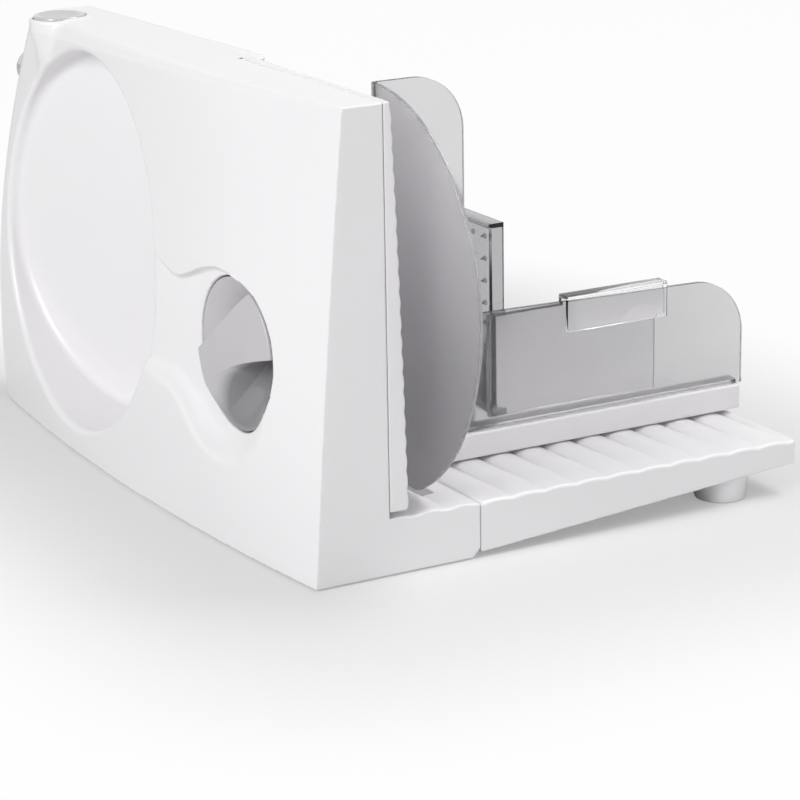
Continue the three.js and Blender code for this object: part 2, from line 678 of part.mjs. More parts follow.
function backHousing() {
  const blank = union(housingBlank(outerOutline, 0), buttonBoss(), baseStrip());
  const axleTop = coverFront + FIT;
  const wheelBack = WORM_PLANE - WHEEL_WIDTH / 2;
  const bosses = union(boss(BLADE_ALONG, bladeHeight, BLADE_AXLE_RADIUS, axleTop),
    boss(idlerAlong, bladeHeight, IDLER_AXLE_RADIUS, wheelBack - FIT));
  const buttonCup = round('z', BUTTON_ACROSS, BUTTON_ALONG, buttonFloor() - WALL, BODY_HEIGHT,
    BUTTON_RADIUS + SLIDE + WALL);
  const hollow = housingHollow()
    .subtract(motorCradle())
    .subtract(coverFrame(guideWindow, panelBack, KNOB_END_DEPTH))
    .subtract(coverFrame(driveWindow, coverBack, BLADE_END_DEPTH))
    .subtract(buttonCup)
    .subtract(switchBracket())
    .subtract(safetyRib());
  const pinHoles = union(
    round('x', BLADE_ALONG, bladeHeight, axleTop - AXLE_SEAT - FIT, axleTop + 1, BLADE_AXLE_RADIUS + RUN),
    round('x', idlerAlong, bladeHeight, wheelBack - IDLER_SEAT - FIT, wheelBack + 1,
      IDLER_AXLE_RADIUS + RUN));
  const spindle = round('x', KNOB_ALONG, KNOB_HEIGHT, 0, panelBack,
    DRUM_RADIUS + SLEEVE_WALL + FIT + SLIDE + 1);
  const grommet = round('y', GROMMET_ACROSS, GROMMET_HEIGHT, farY(GROMMET_HEIGHT) - 12, BODY_LENGTH + 9,
    GROMMET_RADIUS + FIT);
  const cuts = [
    hollow, stripHollow(), dishPocket(0), scoopPocket(0), knobWell(0), bladeSlot(0), keelGroove(),
    ...lugPlaces.map(hingeNotch), buttonWell(), safetyHole(), grommet, spindle,
    coverRecess(guideWindow, panelBack), coverRecess(driveWindow, coverBack).intersect(insideFarEnd(WALL)),
  ];
  return cuts.reduce((body, cut) => body.subtract(cut), blank).add(bosses).subtract(pinHoles);
}

function padPlaces() {
  const right = STRIP_EDGE - PAD_FROM_SIDE;
  const far = farY(0) - PAD_FROM_END - FAR_CORNER;
  return [
    [PAD_FROM_SIDE, PAD_FROM_END], [right, PAD_FROM_END],
    [PAD_FROM_SIDE, far], [right, far],
  ];
}

function basePlate() {
  const low = planRing(0, { ...outerOutline, bottom: FOOT_SHOWN }, 0);
  const high = low.map((p) => new THREE.Vector3(p.x, p.y, FOOT_SHOWN + BASE_PLATE));
  const strip = box(KNOB_END_DEPTH - 6, STRIP_EDGE - STRIP_CHAMFER, 0, farY(TABLE_LEVEL) - WALL,
    FOOT_SHOWN, FOOT_SHOWN + BASE_PLATE);
  const plate = loft([low, high]).add(strip);
  const pockets = padPlaces().map(([x, y]) =>
    round('z', x, y, FOOT_SHOWN - 1, FOOT_SHOWN + PAD_SUNK, PAD_RADIUS + FIT));
  return pockets.reduce((body, cut) => body.subtract(cut), plate);
}

function rubberPad([x, y]) {
  return round('z', x, y, 0, FOOT_SHOWN + PAD_SUNK - 0.1, PAD_RADIUS - 0.4, PAD_RADIUS, 12);
}

// Folding table: ribbed tray, open below, thinner towards its outer edge
function tableUnder(x) {
  const share = (x - STRIP_EDGE) / TABLE_REACH;
  return TABLE_UNDER_SEAM + share * (TABLE_UNDER_EDGE - TABLE_UNDER_SEAM);
}

function table() {
  const left = STRIP_EDGE + SEAM;
  const right = STRIP_EDGE + TABLE_REACH;
  const shape = new THREE.Shape([
    new THREE.Vector2(left, tableUnder(left)),
    new THREE.Vector2(right, tableUnder(right)),
    ...ribbedTop(left, right),
  ]);
  const roof = TABLE_LEVEL - RIB_DEPTH - WALL;
  const hollow = box(left + WALL, right - WALL, WALL, tableLength - WALL, 0, roof);
  const lug = (y) => {
    const knuckle = round('y', hinge.x, hinge.z, y, y + LUG_LENGTH, LUG_RADIUS);
    const web = box(hinge.x - 1, left + 1, y, y + LUG_LENGTH, hinge.z - LUG_RADIUS * 0.85,
      hinge.z + LUG_RADIUS * 0.5);
    const hole = round('y', hinge.x, hinge.z, y - 1, y + LUG_LENGTH + 1, HINGE_PIN_RADIUS + FIT);
    return knuckle.add(web).subtract(hole);
  };
  const tray = prismY(shape, 0, tableLength).subtract(hollow);
  return union(tray, ...lugPlaces.map(lug));
}

function hingePin(y) {
  return round('y', hinge.x, hinge.z, y - HINGE_CHEEK + FIT, y + LUG_LENGTH + HINGE_CHEEK - FIT,
    HINGE_PIN_RADIUS);
}

function tableFoot(y) {
  const x = STRIP_EDGE + TABLE_REACH - TABLE_FOOT_INSET;
  const roof = TABLE_LEVEL - RIB_DEPTH - WALL - FIT;
  return round('z', x, y, 0, roof, TABLE_FOOT_TIP, TABLE_FOOT_RADIUS);
}

function guidePanel() {
  const plate = prismX(coverOutline(guideWindow, COVER_LEDGE), panelBack, KNOB_END_DEPTH, 3);
  const rods = rodHeights();
  const bushes = rods.map((z) => round('x', KNOB_ALONG, z, panelBack - 8, panelBack + 1,
    ROD_RADIUS + ROD_BUSH));
  const holes = rods.map((z) => round('x', KNOB_ALONG, z, 0, KNOB_END_DEPTH + 1, ROD_RADIUS + SLIDE));
  holes.push(round('x', KNOB_ALONG, KNOB_HEIGHT, 0, KNOB_END_DEPTH + 1,
    DRUM_RADIUS + RUN + SLEEVE_WALL + 2 * SLIDE));
  return holes.reduce((body, cut) => body.subtract(cut), union(plate, ...bushes));
}

function driveCover() {
  const plate = prismX(coverOutline(driveWindow, COVER_LEDGE), coverBack, coverFront, 3);
  const axle = round('x', BLADE_ALONG, bladeHeight, 0, THROUGH, BLADE_AXLE_RADIUS + AXLE_BOSS_WALL + FIT);
  const pinionTip = (GEAR_MODULE * (PINION_TEETH + 2)) / 2;
  const pinion = round('x', idlerAlong, bladeHeight, 0, THROUGH, pinionTip + SLIDE + 2 * FIT);
  return plate.intersect(insideFarEnd(WALL + FIT)).subtract(axle).subtract(pinion);
}

// Toothed outline with straight-sided teeth; one tooth is centred at the start angle
function gearShape(teeth, module, start) {
  const pitch = (module * teeth) / 2;
  const shape = new THREE.Shape();
  const profile = [[-0.31, -1.2], [-0.11, 0.9], [0.11, 0.9], [0.31, -1.2]];
  for (let t = 0; t < teeth; t += 1) {
    for (const [along, out] of profile) {
      const angle = start + ((t + along) * 2 * Math.PI) / teeth;
      const radius = pitch + out * module;
      const [y, z] = [radius * Math.cos(angle), radius * Math.sin(angle)];
      if (t === 0 && along === profile[0][0]) shape.moveTo(y, z);
      else shape.lineTo(y, z);
    }
  }
  return shape;
}

// Wavy-edged blade, ground to a bevel on its back
function blade() {
  const steps = 3;
  const total = BLADE_TEETH * steps;
  const ring = (depth, x, wavy) => {
    const points = [];
    for (let i = 0; i < total; i += 1) {
      const angle = (2 * Math.PI * i) / total;
      const scallop = wavy * Math.abs(Math.sin((Math.PI * i) / steps));
      const radius = BLADE_RADIUS - depth - BLADE_TOOTH_DEPTH * scallop;
      points.push(new THREE.Vector3(radius * Math.cos(angle), radius * Math.sin(angle), x));
    }
    return points;
  };
  const disc = loft([ring(BLADE_BEVEL, 0, 0), ring(0, BLADE_THICK * 0.7, 1), ring(0, BLADE_THICK, 1)]);
  const hole = round('x', 0, 0, -1, BLADE_THICK + 1, BLADE_HUB_RADIUS + RUN);
  return disc.rotate([90, 0, 90]).subtract(hole).translate([bladeBack, BLADE_ALONG, bladeHeight]);
}

function bladeGear() {
  const rim = prismX(gearShape(BLADE_GEAR_TEETH, GEAR_MODULE, 0), bladeBack - FIT - GEAR_WIDTH,
    bladeBack - FIT);
  const hub = round('x', 0, 0, bladeBack - FIT - GEAR_WIDTH, BLADE_FACE, BLADE_HUB_RADIUS);
  const pitch = (GEAR_MODULE * BLADE_GEAR_TEETH) / 2;
  const hollow = round('x', 0, 0, bladeBack - FIT - GEAR_WIDTH - 1, bladeBack - FIT - 2, pitch - 5,
    pitch - 5, 24)
    .subtract(round('x', 0, 0, 0, THROUGH, BLADE_HUB_RADIUS));
  const bore = round('x', 0, 0, 0, THROUGH, BLADE_AXLE_RADIUS + RUN);
  return rim.add(hub).subtract(hollow).subtract(bore).translate([0, BLADE_ALONG, bladeHeight]);
}

function bladeLock() {
  const face = BLADE_FACE + 0.1;
  const disc = round('x', 0, 0, face, face + BLADE_LOCK_THICK, BLADE_LOCK_RADIUS, BLADE_LOCK_RADIUS - 1);
  const stub = round('x', 0, 0, face - 1.2, face + 0.5, BLADE_AXLE_RADIUS);
  const slot = box(face + 0.5, face + 9, -BLADE_LOCK_RADIUS + 3, BLADE_LOCK_RADIUS - 3, -1.2, 1.2);
  return disc.add(stub).subtract(slot).translate([0, BLADE_ALONG, bladeHeight]);
}

function bladeAxle() {
  return round('x', BLADE_ALONG, bladeHeight, coverFront + FIT - AXLE_SEAT, BLADE_FACE - 1.4,
    BLADE_AXLE_RADIUS);
}

function idlerAxle() {
  return round('x', idlerAlong, bladeHeight, WORM_PLANE - WHEEL_WIDTH / 2 - IDLER_SEAT, bladeBack - 2.5,
    IDLER_AXLE_RADIUS);
}

// Worm wheel and pinion in one moulding; the wheel's teeth lean with the worm's thread
function idlerGear() {
  const twist = Math.atan2(WHEEL_MODULE, 2 * WORM_PITCH_RADIUS);
  const lean = ((WHEEL_WIDTH / 2) * Math.tan(twist)) / wheelRadius;
  const ring = (angle, x) => gearShape(WHEEL_TEETH, WHEEL_MODULE, angle).getPoints()
    .map((p) => new THREE.Vector3(p.x, p.y, x));
  const wheel = loft([ring(-lean, -WHEEL_WIDTH / 2), ring(lean, WHEEL_WIDTH / 2)])
    .rotate([90, 0, 90]).translate([WORM_PLANE, 0, 0]);
  const start = Math.PI + Math.PI / PINION_TEETH;
  const pinion = prismX(gearShape(PINION_TEETH, GEAR_MODULE, start), WORM_PLANE, bladeBack - 0.8);
  const bore = round('x', 0, 0, 0, THROUGH, IDLER_AXLE_RADIUS + RUN);
  return wheel.add(pinion).subtract(bore).translate([0, idlerAlong, bladeHeight]);
}

class Helix extends THREE.Curve {
  constructor(radius, pitch, turns, start) {
    super();
    Object.assign(this, { radius, pitch, turns, start });
  }

  getPoint(t, target = new THREE.Vector3()) {
    const angle = this.start + 2 * Math.PI * this.turns * t;
    const rise = this.pitch * this.turns * (t - 0.5);
    return target.set(this.radius * Math.cos(angle), this.radius * Math.sin(angle), rise);
  }
}

// Closed tube with flat ends along a helix about Z; the section's u runs outwards and v along Z
function helixTube(helix, section, stepsPerTurn) {
  const steps = Math.round(helix.turns * stepsPerTurn);
  const count = section.length;
  const points = [];
  for (let i = 0; i <= steps; i += 1) {
    const centre = helix.getPoint(i / steps);
    const angle = Math.atan2(centre.y, centre.x);
    for (const [u, v] of section) {
      points.push(new THREE.Vector3(centre.x + u * Math.cos(angle), centre.y + u * Math.sin(angle),
        centre.z + v));
    }
  }
  const faces = [];
  for (let i = 0; i < steps; i += 1) {
    for (let k = 0; k < count; k += 1) {
      const n = (k + 1) % count;
      const [a, b, c, d] = [i * count + k, i * count + n, (i + 1) * count + n, (i + 1) * count + k];
      faces.push(a, c, b, a, d, c);
    }
  }
  const end = steps * count;
  for (let k = 1; k + 1 < count; k += 1) {
    faces.push(0, k, k + 1, end, end + k + 1, end + k);
  }
  const geometry = new THREE.BufferGeometry().setFromPoints(points);
  geometry.setIndex(faces);
  return solid(geometry);
}

// Single-start worm with a gap of its thread facing the wheel at the wheel's height
function worm() {
  const length = (WORM_TURNS + 1.2) * wormPitch;
  const root = WORM_PITCH_RADIUS - WHEEL_MODULE;
  const core = round('z', 0, 0, -length / 2, length / 2, root);
  const half = WORM_TURNS * Math.PI;
  const thread = new Helix(root, wormPitch, WORM_TURNS, -Math.PI / 2 - half + Math.PI);
  const [foot, tip, tall] = [0.27 * wormPitch, 0.1 * wormPitch, 1.8 * WHEEL_MODULE];
  const section = [[-0.4, -foot], [tall, -tip], [tall, tip], [-0.4, foot]];
  const bore = round('z', 0, 0, -length, length, SHAFT_RADIUS + RUN);
  return core.add(helixTube(thread, section, 8))
    .subtract(bore)
    .translate([WORM_PLANE, motorAlong, bladeHeight]);
}

function motorCan() {
  const top = MOTOR_BOTTOM + MOTOR_LENGTH;
  const shell = round('z', 0, 0, MOTOR_BOTTOM, top, MOTOR_RADIUS);
  const inside = round('z', 0, 0, MOTOR_BOTTOM + MOTOR_CAN_WALL, top + 1, MOTOR_RADIUS - MOTOR_CAN_WALL);
  const hole = round('z', 0, 0, 0, top, SHAFT_RADIUS + RUN);
  return shell.subtract(inside).subtract(hole).translate([WORM_PLANE, motorAlong, 0]);
}

function motorEndCap() {
  const bottom = MOTOR_BOTTOM + MOTOR_LENGTH + 0.05;
  const cap = round('z', 0, 0, bottom, bottom + MOTOR_CAP - 2, MOTOR_RADIUS);
  const neck = round('z', 0, 0, bottom, bottom + MOTOR_CAP, SHAFT_RADIUS + 3);
  const hole = round('z', 0, 0, 0, bottom + 20, SHAFT_RADIUS + RUN);
  return cap.add(neck).subtract(hole).translate([WORM_PLANE, motorAlong, 0]);
}

function magnet(side) {
  const outer = MOTOR_RADIUS - MOTOR_CAN_WALL - FIT;
  const arc = 0.38 * Math.PI;
  const middle = side * (Math.PI / 2);
  const shape = new THREE.Shape();
  shape.absarc(0, 0, outer, middle - arc, middle + arc, false);
  shape.absarc(0, 0, outer - MAGNET_THICK, middle + arc, middle - arc, true);
  const options = { depth: MOTOR_LENGTH - 20, bevelEnabled: false, curveSegments: 6 };
  const geometry = new THREE.ExtrudeGeometry(shape, options);
  return solid(geometry).translate([WORM_PLANE, motorAlong, MOTOR_BOTTOM + 8]);
}

// Slotted core, commutator and shaft of the motor
function armature() {
  const coreRadius = MOTOR_RADIUS - MOTOR_CAN_WALL - FIT - MAGNET_THICK - AIR_GAP;
  const bottom = MOTOR_BOTTOM + 8;
  const length = MOTOR_LENGTH - 22;
  const slots = [0, 1, 2].map((i) => box(3, 20, -1.6, 1.6, bottom - 1, bottom + length + 1)
    .rotate([0, 0, i * 120]));
  const blank = round('z', 0, 0, bottom, bottom + length, coreRadius);
  const core = slots.reduce((body, cut) => body.subtract(cut), blank);
  const commutator = round('z', 0, 0, bottom + length - 0.1, bottom + length + 7, 4.5);
  const shaft = round('z', 0, 0, MOTOR_BOTTOM + 0.2, bearingBottom() + BEARING_LENGTH, SHAFT_RADIUS);
  return union(core, commutator, shaft).translate([WORM_PLANE, motorAlong, 0]);
}

function wormBearing() {
  const bottom = bearingBottom();
  const bush = round('z', 0, 0, bottom, bottom + BEARING_LENGTH - 0.5, BEARING_RADIUS);
  const hole = round('z', 0, 0, 0, bottom + 20, SHAFT_RADIUS + RUN);
  return bush.subtract(hole).translate([WORM_PLANE, motorAlong, 0]);
}

// Thickness knob: disc with a domed grip bar between two finger recesses
function thicknessKnob() {
  const discFront = KNOB_FACE + KNOB_BAR_HEIGHT;
  const disc = round('x', 0, 0, discFront, knobBack, KNOB_RADIUS);
  const dome = solid(new THREE.SphereGeometry(KNOB_DOME_RADIUS, 48, 24))
    .translate([KNOB_FACE + KNOB_DOME_RADIUS, 0, 0]);
  const sides = box(0, discFront + 1, -KNOB_RADIUS, KNOB_RADIUS, -KNOB_BAR_WIDTH / 2, KNOB_BAR_WIDTH / 2)
    .rotate([-KNOB_BAR_ANGLE, 0, 0]);
  const bar = round('x', 0, 0, 0, discFront + 1, KNOB_RADIUS).intersect(sides).intersect(dome);
  const square = box(knobBack - 2, knobBack + 9, -3, 3, -3, 3);
  return union(disc, bar, square).translate([0, KNOB_ALONG, KNOB_HEIGHT]);
}

// Cam drum: a helical groove drives the stop plate's follower pin
function camPinX() {
  return knobWellFloor + WALL + 3;
}

function thicknessDrum() {
  const start = knobWellFloor + WALL * 0.2;
  const drum = round('x', 0, 0, start, drumEnd, DRUM_RADIUS);
  const socket = box(start - 1, knobBack + 9 + FIT, -3 - FIT, 3 + FIT, -3 - FIT, 3 + FIT);
  const turns = CAM_TURN / 360;
  const lead = STOP_TRAVEL / turns;
  const half = CAM_PIN_RADIUS + FIT;
  const over = 14 / 360;
  const path = new Helix(DRUM_RADIUS, lead, turns + 2 * over, 0);
  const section = [[-CAM_GROOVE_DEPTH, -half], [2, -half], [2, half], [-CAM_GROOVE_DEPTH, half]];
  const groove = helixTube(path, section, 24)
    .rotate([0, 0, -over * 360])
    .rotate([0, 90, 0])
    .translate([camPinX() + STOP_TRAVEL / 2, 0, 0]);
  return drum.subtract(socket).subtract(groove).translate([0, KNOB_ALONG, KNOB_HEIGHT]);
}

function rodHeights() {
  return [KNOB_HEIGHT + ROD_SPACING_UP, KNOB_HEIGHT - ROD_SPACING_DOWN];
}

function stopFrontX(z) {
  const share = (z - stopBottom) / (STOP_TOP - stopBottom);
  const bulge = 4 * STOP_CROWN * share * (1 - share);
  return stopBack + STOP_THICK_BOTTOM + share * (STOP_THICK_TOP - STOP_THICK_BOTTOM) + bulge;
}

// Stop plate: wedge-shaped tray with level ribs, a sleeve over the cam drum and two rod sockets
function stopPlate() {
  const profile = new THREE.Shape();
  profile.moveTo(stopBack, stopBottom);
  const steps = Math.round(((STOP_TOP - stopBottom) / STOP_RIB_PITCH) * 3);
  for (let i = 0; i <= steps; i += 1) {
    const z = stopBottom + ((STOP_TOP - stopBottom) * i) / steps;
    const wave = Math.abs(Math.sin((Math.PI * (z - stopBottom)) / STOP_RIB_PITCH));
    profile.lineTo(stopFrontX(z) - STOP_RIB_DEPTH * (1 - wave), z);
  }
  profile.lineTo(stopBack, STOP_TOP);
  const outline = new THREE.Shape();
  outline.moveTo(0, stopBottom - 1);
  outline.lineTo(STOP_LENGTH, stopBottom - 1);
  outline.lineTo(STOP_LENGTH, STOP_TOP - STOP_CORNER);
  outline.absarc(STOP_LENGTH - STOP_CORNER, STOP_TOP - STOP_CORNER, STOP_CORNER, 0, Math.PI / 2);
  outline.lineTo(0, STOP_TOP);
  const plate = prismY(profile, 0, STOP_LENGTH).intersect(prismX(outline, stopBack - 1, THROUGH, 8));
  const skin = STOP_SKIN + STOP_RIB_DEPTH;
  const inner = new THREE.Shape();
  const low = stopBottom + STOP_SKIN;
  const high = stopBottom + (STOP_TOP - stopBottom) * 0.86;
  inner.moveTo(stopBack - 1, low);
  inner.lineTo(stopFrontX(low) - skin, low);
  inner.lineTo(stopFrontX(high) - skin, high);
  inner.lineTo(stopBack - 1, high);
  const hollow = prismY(inner, STOP_SKIN, STOP_LENGTH - STOP_SKIN - 4);
  const sleeveRadius = DRUM_RADIUS + RUN + SLEEVE_WALL;
  const front = stopFrontX(KNOB_HEIGHT) - skin + 0.5;
  const sleeve = round('x', KNOB_ALONG, KNOB_HEIGHT, camPinX() - CAM_PIN_RADIUS - 1, front, sleeveRadius);
  const bore = round('x', KNOB_ALONG, KNOB_HEIGHT, 0, drumEnd + FIT, DRUM_RADIUS + RUN);
  const pinReach = DRUM_RADIUS - CAM_GROOVE_DEPTH + FIT;
  const pin = round('z', camPinX(), KNOB_ALONG, KNOB_HEIGHT - DRUM_RADIUS - 1, KNOB_HEIGHT - pinReach,
    CAM_PIN_RADIUS);
  const sockets = rodHeights().map((z) => round('x', KNOB_ALONG, z, stopBack, stopFrontX(z) - skin + 0.5,
    ROD_RADIUS + ROD_SOCKET_WALL));
  const sinks = rodHeights().map((z) => round('x', KNOB_ALONG, z, 0, rodEnd(z) + FIT, ROD_RADIUS + RUN));
  const tray = union(plate.subtract(hollow), sleeve, ...sockets).subtract(bore).add(pin);
  return sinks.reduce((body, cut) => body.subtract(cut), tray);
}

function rodEnd(z) {
  return stopFrontX(z) - STOP_RIB_DEPTH - STOP_SKIN * 0.5 - FIT;
}

function guideRod(z) {
  return round('x', KNOB_ALONG, z, stopBack - ROD_REACH, rodEnd(z), ROD_RADIUS);
}

// White carriage beam with the keel that runs in the base strip's groove
function carriageBeam() {
  const near = SHIELD_ALONG - BEAM_STEP;
  const right = SHIELD_REACH - 1.5;
  const bar = box(keelLeft, right, near, near + BEAM_DEPTH, beamBottom, beamTop);
  const hollow = box(keelLeft + KEEL_WIDTH + 6, right - WALL, near + WALL, near + BEAM_DEPTH - WALL,
    beamBottom - 1, beamTop - WALL);
  const runner = box(keelLeft, keelLeft + KEEL_WIDTH + 5, near, near + KEEL_LENGTH, beamBottom,
    beamBottom + 5);
  const keel = box(keelLeft, keelLeft + KEEL_WIDTH, near + 2, near + KEEL_LENGTH - 2,
    TABLE_LEVEL - KEEL_DEPTH, beamBottom + 1);
  return bar.subtract(hollow).add(runner).add(keel);
}

// See-through shield: low wall, tall wing and the D-shaped finger guard in one moulding
function carriageShield() {
  const bottom = beamTop + FIT;
  const wall = new THREE.Shape();
  wall.moveTo(GUARD_PLANE, bottom);
  wall.lineTo(SHIELD_REACH, bottom);
  wall.lineTo(SHIELD_REACH, SHIELD_LOW_TOP - SHIELD_LOW_CORNER);
  wall.absarc(SHIELD_REACH - SHIELD_LOW_CORNER, SHIELD_LOW_TOP - SHIELD_LOW_CORNER, SHIELD_LOW_CORNER,
    0, Math.PI / 2);
  wall.lineTo(SHIELD_TALL_EDGE + SHIELD_INNER_CORNER, SHIELD_LOW_TOP);
  wall.absarc(SHIELD_TALL_EDGE + SHIELD_INNER_CORNER, SHIELD_LOW_TOP + SHIELD_INNER_CORNER,
    SHIELD_INNER_CORNER,
    1.5 * Math.PI, Math.PI, true);
  wall.lineTo(SHIELD_TALL_EDGE, SHIELD_TALL_TOP - SHIELD_TALL_CORNER);
  wall.absarc(SHIELD_TALL_EDGE - SHIELD_TALL_CORNER, SHIELD_TALL_TOP - SHIELD_TALL_CORNER,
    SHIELD_TALL_CORNER,
    0, Math.PI / 2);
  wall.lineTo(GUARD_PLANE, SHIELD_TALL_TOP);
  const panel = prismY(wall, SHIELD_ALONG, SHIELD_ALONG + SHIELD_THICK, 8);
  const half = round('x', SHIELD_ALONG + SHIELD_THICK, GUARD_AXIS_HEIGHT, GUARD_PLANE,
    GUARD_PLANE + GUARD_THICK,
    GUARD_RADIUS);
  const keep = box(0, THROUGH, SHIELD_ALONG - GUARD_RADIUS - 5, SHIELD_ALONG + SHIELD_THICK,
    TABLE_LEVEL + 2 * SLIDE + 1, SHIELD_TALL_TOP);
  const flange = box(keelLeft + 2, SHIELD_REACH - 2, SHIELD_ALONG, SHIELD_ALONG + FLANGE_DEPTH, bottom,
    bottom + FLANGE_THICK);
  return union(panel, half.intersect(keep), flange);
}

// Pusher: spiked plate facing the food, stiffened by a rim and fixed to the guide panel
function panelNear() {
  return SHIELD_ALONG + SHIELD_THICK + SLIDE;
}

function panelLow() {
  return Math.max(PUSHER_PANEL_LOW, beamTop + FIT + FLANGE_THICK + SLIDE);
}

function pusherPlate() {
  const near = panelNear() + PUSHER_THICK + FIT;
  const far = panelNear() + PUSHER_REACH;
  const low = panelLow();
  const x = PUSHER_PLATE_AT;
  const outline = () => roundedRect(near, far, low, PUSHER_TOP, PUSHER_CORNER);
  const plate = prismX(outline(), x, x + PUSHER_THICK, 4);
  const beamFar = SHIELD_ALONG + FLANGE_DEPTH + SLIDE + BEAM_DEPTH;
  const skirt = box(x, x + PUSHER_THICK, beamFar, far, PUSHER_LOW, low + PUSHER_CORNER);
  const rimInner = box(x + PUSHER_THICK, x + THROUGH, near + PUSHER_THICK, far - PUSHER_THICK,
    low + PUSHER_THICK, PUSHER_TOP - PUSHER_THICK);
  const rim = prismX(outline(), x, x + PUSHER_RIM, 4).subtract(rimInner);
  const spikes = [];
  for (let y = near + SPIKE_MARGIN; y < far - SPIKE_MARGIN; y += SPIKE_PITCH) {
    for (let z = low + SPIKE_MARGIN; z < PUSHER_TOP - SPIKE_MARGIN; z += SPIKE_PITCH) {
      spikes.push(round('x', y, z, x - SPIKE_HEIGHT, x + 0.5, 0, SPIKE_RADIUS, 3));
    }
  }
  return union(plate, skirt, rim, ...spikes);
}

// Grip: a saddle over the carriage wall, in one with the guide panel behind it
function pusherGrip() {
  const near = SHIELD_ALONG - SLIDE - GRIP_THICK;
  const far = panelNear();
  const under = SHIELD_LOW_TOP + SLIDE;
  const profile = new THREE.Shape();
  profile.moveTo(near, under - GRIP_DROP);
  profile.lineTo(near + GRIP_THICK, under - GRIP_DROP);
  profile.lineTo(near + GRIP_THICK, under);
  profile.lineTo(far, under);
  profile.lineTo(far, under - GRIP_DROP);
  profile.lineTo(far + PUSHER_THICK, under - GRIP_DROP);
  profile.lineTo(far + PUSHER_THICK, under + GRIP_THICK);
  profile.lineTo(near, under + GRIP_THICK);
  const panel = box(PUSHER_PANEL_LEFT, PUSHER_PANEL_RIGHT, far, far + PUSHER_THICK, panelLow(),
    SHIELD_LOW_TOP - PANEL_DROP);
  return prismX(profile, GRIP_LEFT, GRIP_RIGHT).add(panel);
}

// Push button with a dished face, a stem to the switch and a return spring
function onButton() {
  const top = topZ(BUTTON_ALONG) + BUTTON_SHOWN;
  const tip = switchTop() + BUTTON_TRAVEL + FIT;
  return turned('z', BUTTON_ACROSS, BUTTON_ALONG, [
    [tip, 0], [tip, BUTTON_STEM_RADIUS], [top - BUTTON_THICK, BUTTON_STEM_RADIUS],
    [top - BUTTON_THICK, BUTTON_RADIUS], [top - 0.8, BUTTON_RADIUS], [top, BUTTON_RADIUS - 0.8],
    [top, BUTTON_RADIUS - 2], [top - 1.2, BUTTON_RADIUS - 5], [top - 1.5, 0],
  ]);
}

function switchTop() {
  return buttonFloor() - WALL - FIT;
}

function spring(radius, length) {
  const pitch = (length - 3 * SPRING_WIRE) / SPRING_COILS;
  const sides = 4;
  const section = [];
  for (let k = 0; k < sides; k += 1) {
    const angle = (2 * Math.PI * k) / sides;
    section.push([SPRING_WIRE * Math.cos(angle), SPRING_WIRE * Math.sin(angle)]);
  }
  return helixTube(new Helix(radius, pitch, SPRING_COILS, 0), section, 6);
}

function onButtonSpring() {
  const middle = buttonFloor() + BUTTON_SPRING / 2;
  return spring(BUTTON_SPRING_RADIUS, BUTTON_SPRING).translate([BUTTON_ACROSS, BUTTON_ALONG, middle]);
}

// Left side of the switch, clear of the dish's wall
function switchLeft() {
  const near = BUTTON_ALONG + SWITCH_SHIFT.y - SWITCH_SIZE.y / 2;
  const beside = BUTTON_ACROSS + SWITCH_SHIFT.x - SWITCH_SIZE.x / 2;
  const reach = Math.hypot(near - BLADE_ALONG, switchTop() - SWITCH_SIZE.z - bladeHeight);
  const overDish = reach > dishRadius + WALL + 2 * FIT;
  return overDish ? beside : Math.max(beside, dishFloorX(near) + WALL + 2 * FIT);
}

function microswitch() {
  const top = switchTop();
  const left = switchLeft();
  const y = BUTTON_ALONG + SWITCH_SHIFT.y;
  return box(left, left + SWITCH_SIZE.x, y - SWITCH_SIZE.y / 2, y + SWITCH_SIZE.y / 2,
    top - SWITCH_SIZE.z, top);
}

// Plate that hangs from the button's cup and carries the switch on its side
function switchBracket() {
  const left = switchLeft() + SWITCH_SIZE.x + FIT;
  const near = BUTTON_ALONG + SWITCH_SHIFT.y - SWITCH_SIZE.y / 2;
  return box(left, left + WALL, near, BUTTON_ALONG + BUTTON_RADIUS, switchTop() - SWITCH_SIZE.z,
    buttonFloor());
}

function safetyBack() {
  return farY(SAFETY_HEIGHT) - SAFETY_DEPTH;
}

// Rib across the housing that the safety button's spring leans on
function safetyRib() {
  const face = safetyBack() - SAFETY_SPRING;
  const half = SAFETY_RADIUS - 3;
  return box(backX(face, SAFETY_HEIGHT) + 1, SAFETY_ACROSS + SAFETY_RADIUS, face - RIB, face,
    SAFETY_HEIGHT - half, SAFETY_HEIGHT + half);
}

function safetySpring() {
  return spring(SAFETY_RADIUS / 2, SAFETY_SPRING).rotate([90, 0, 0])
    .translate([SAFETY_ACROSS, safetyBack() - SAFETY_SPRING / 2, SAFETY_HEIGHT]);
}

function safetyButton() {
  const face = farY(SAFETY_HEIGHT);
  const [back, front] = [safetyBack(), face + SAFETY_SHOWN];
  const collar = back + WALL;
  return turned('y', SAFETY_ACROSS, SAFETY_HEIGHT, [
    [back, 0], [back, SAFETY_RADIUS + SAFETY_COLLAR], [collar, SAFETY_RADIUS + SAFETY_COLLAR],
    [collar, SAFETY_RADIUS], [front - 2.4, SAFETY_RADIUS], [front - 0.7, SAFETY_RADIUS - 1.6],
    [front, SAFETY_RADIUS - 5], [front, 0],
  ]);
}

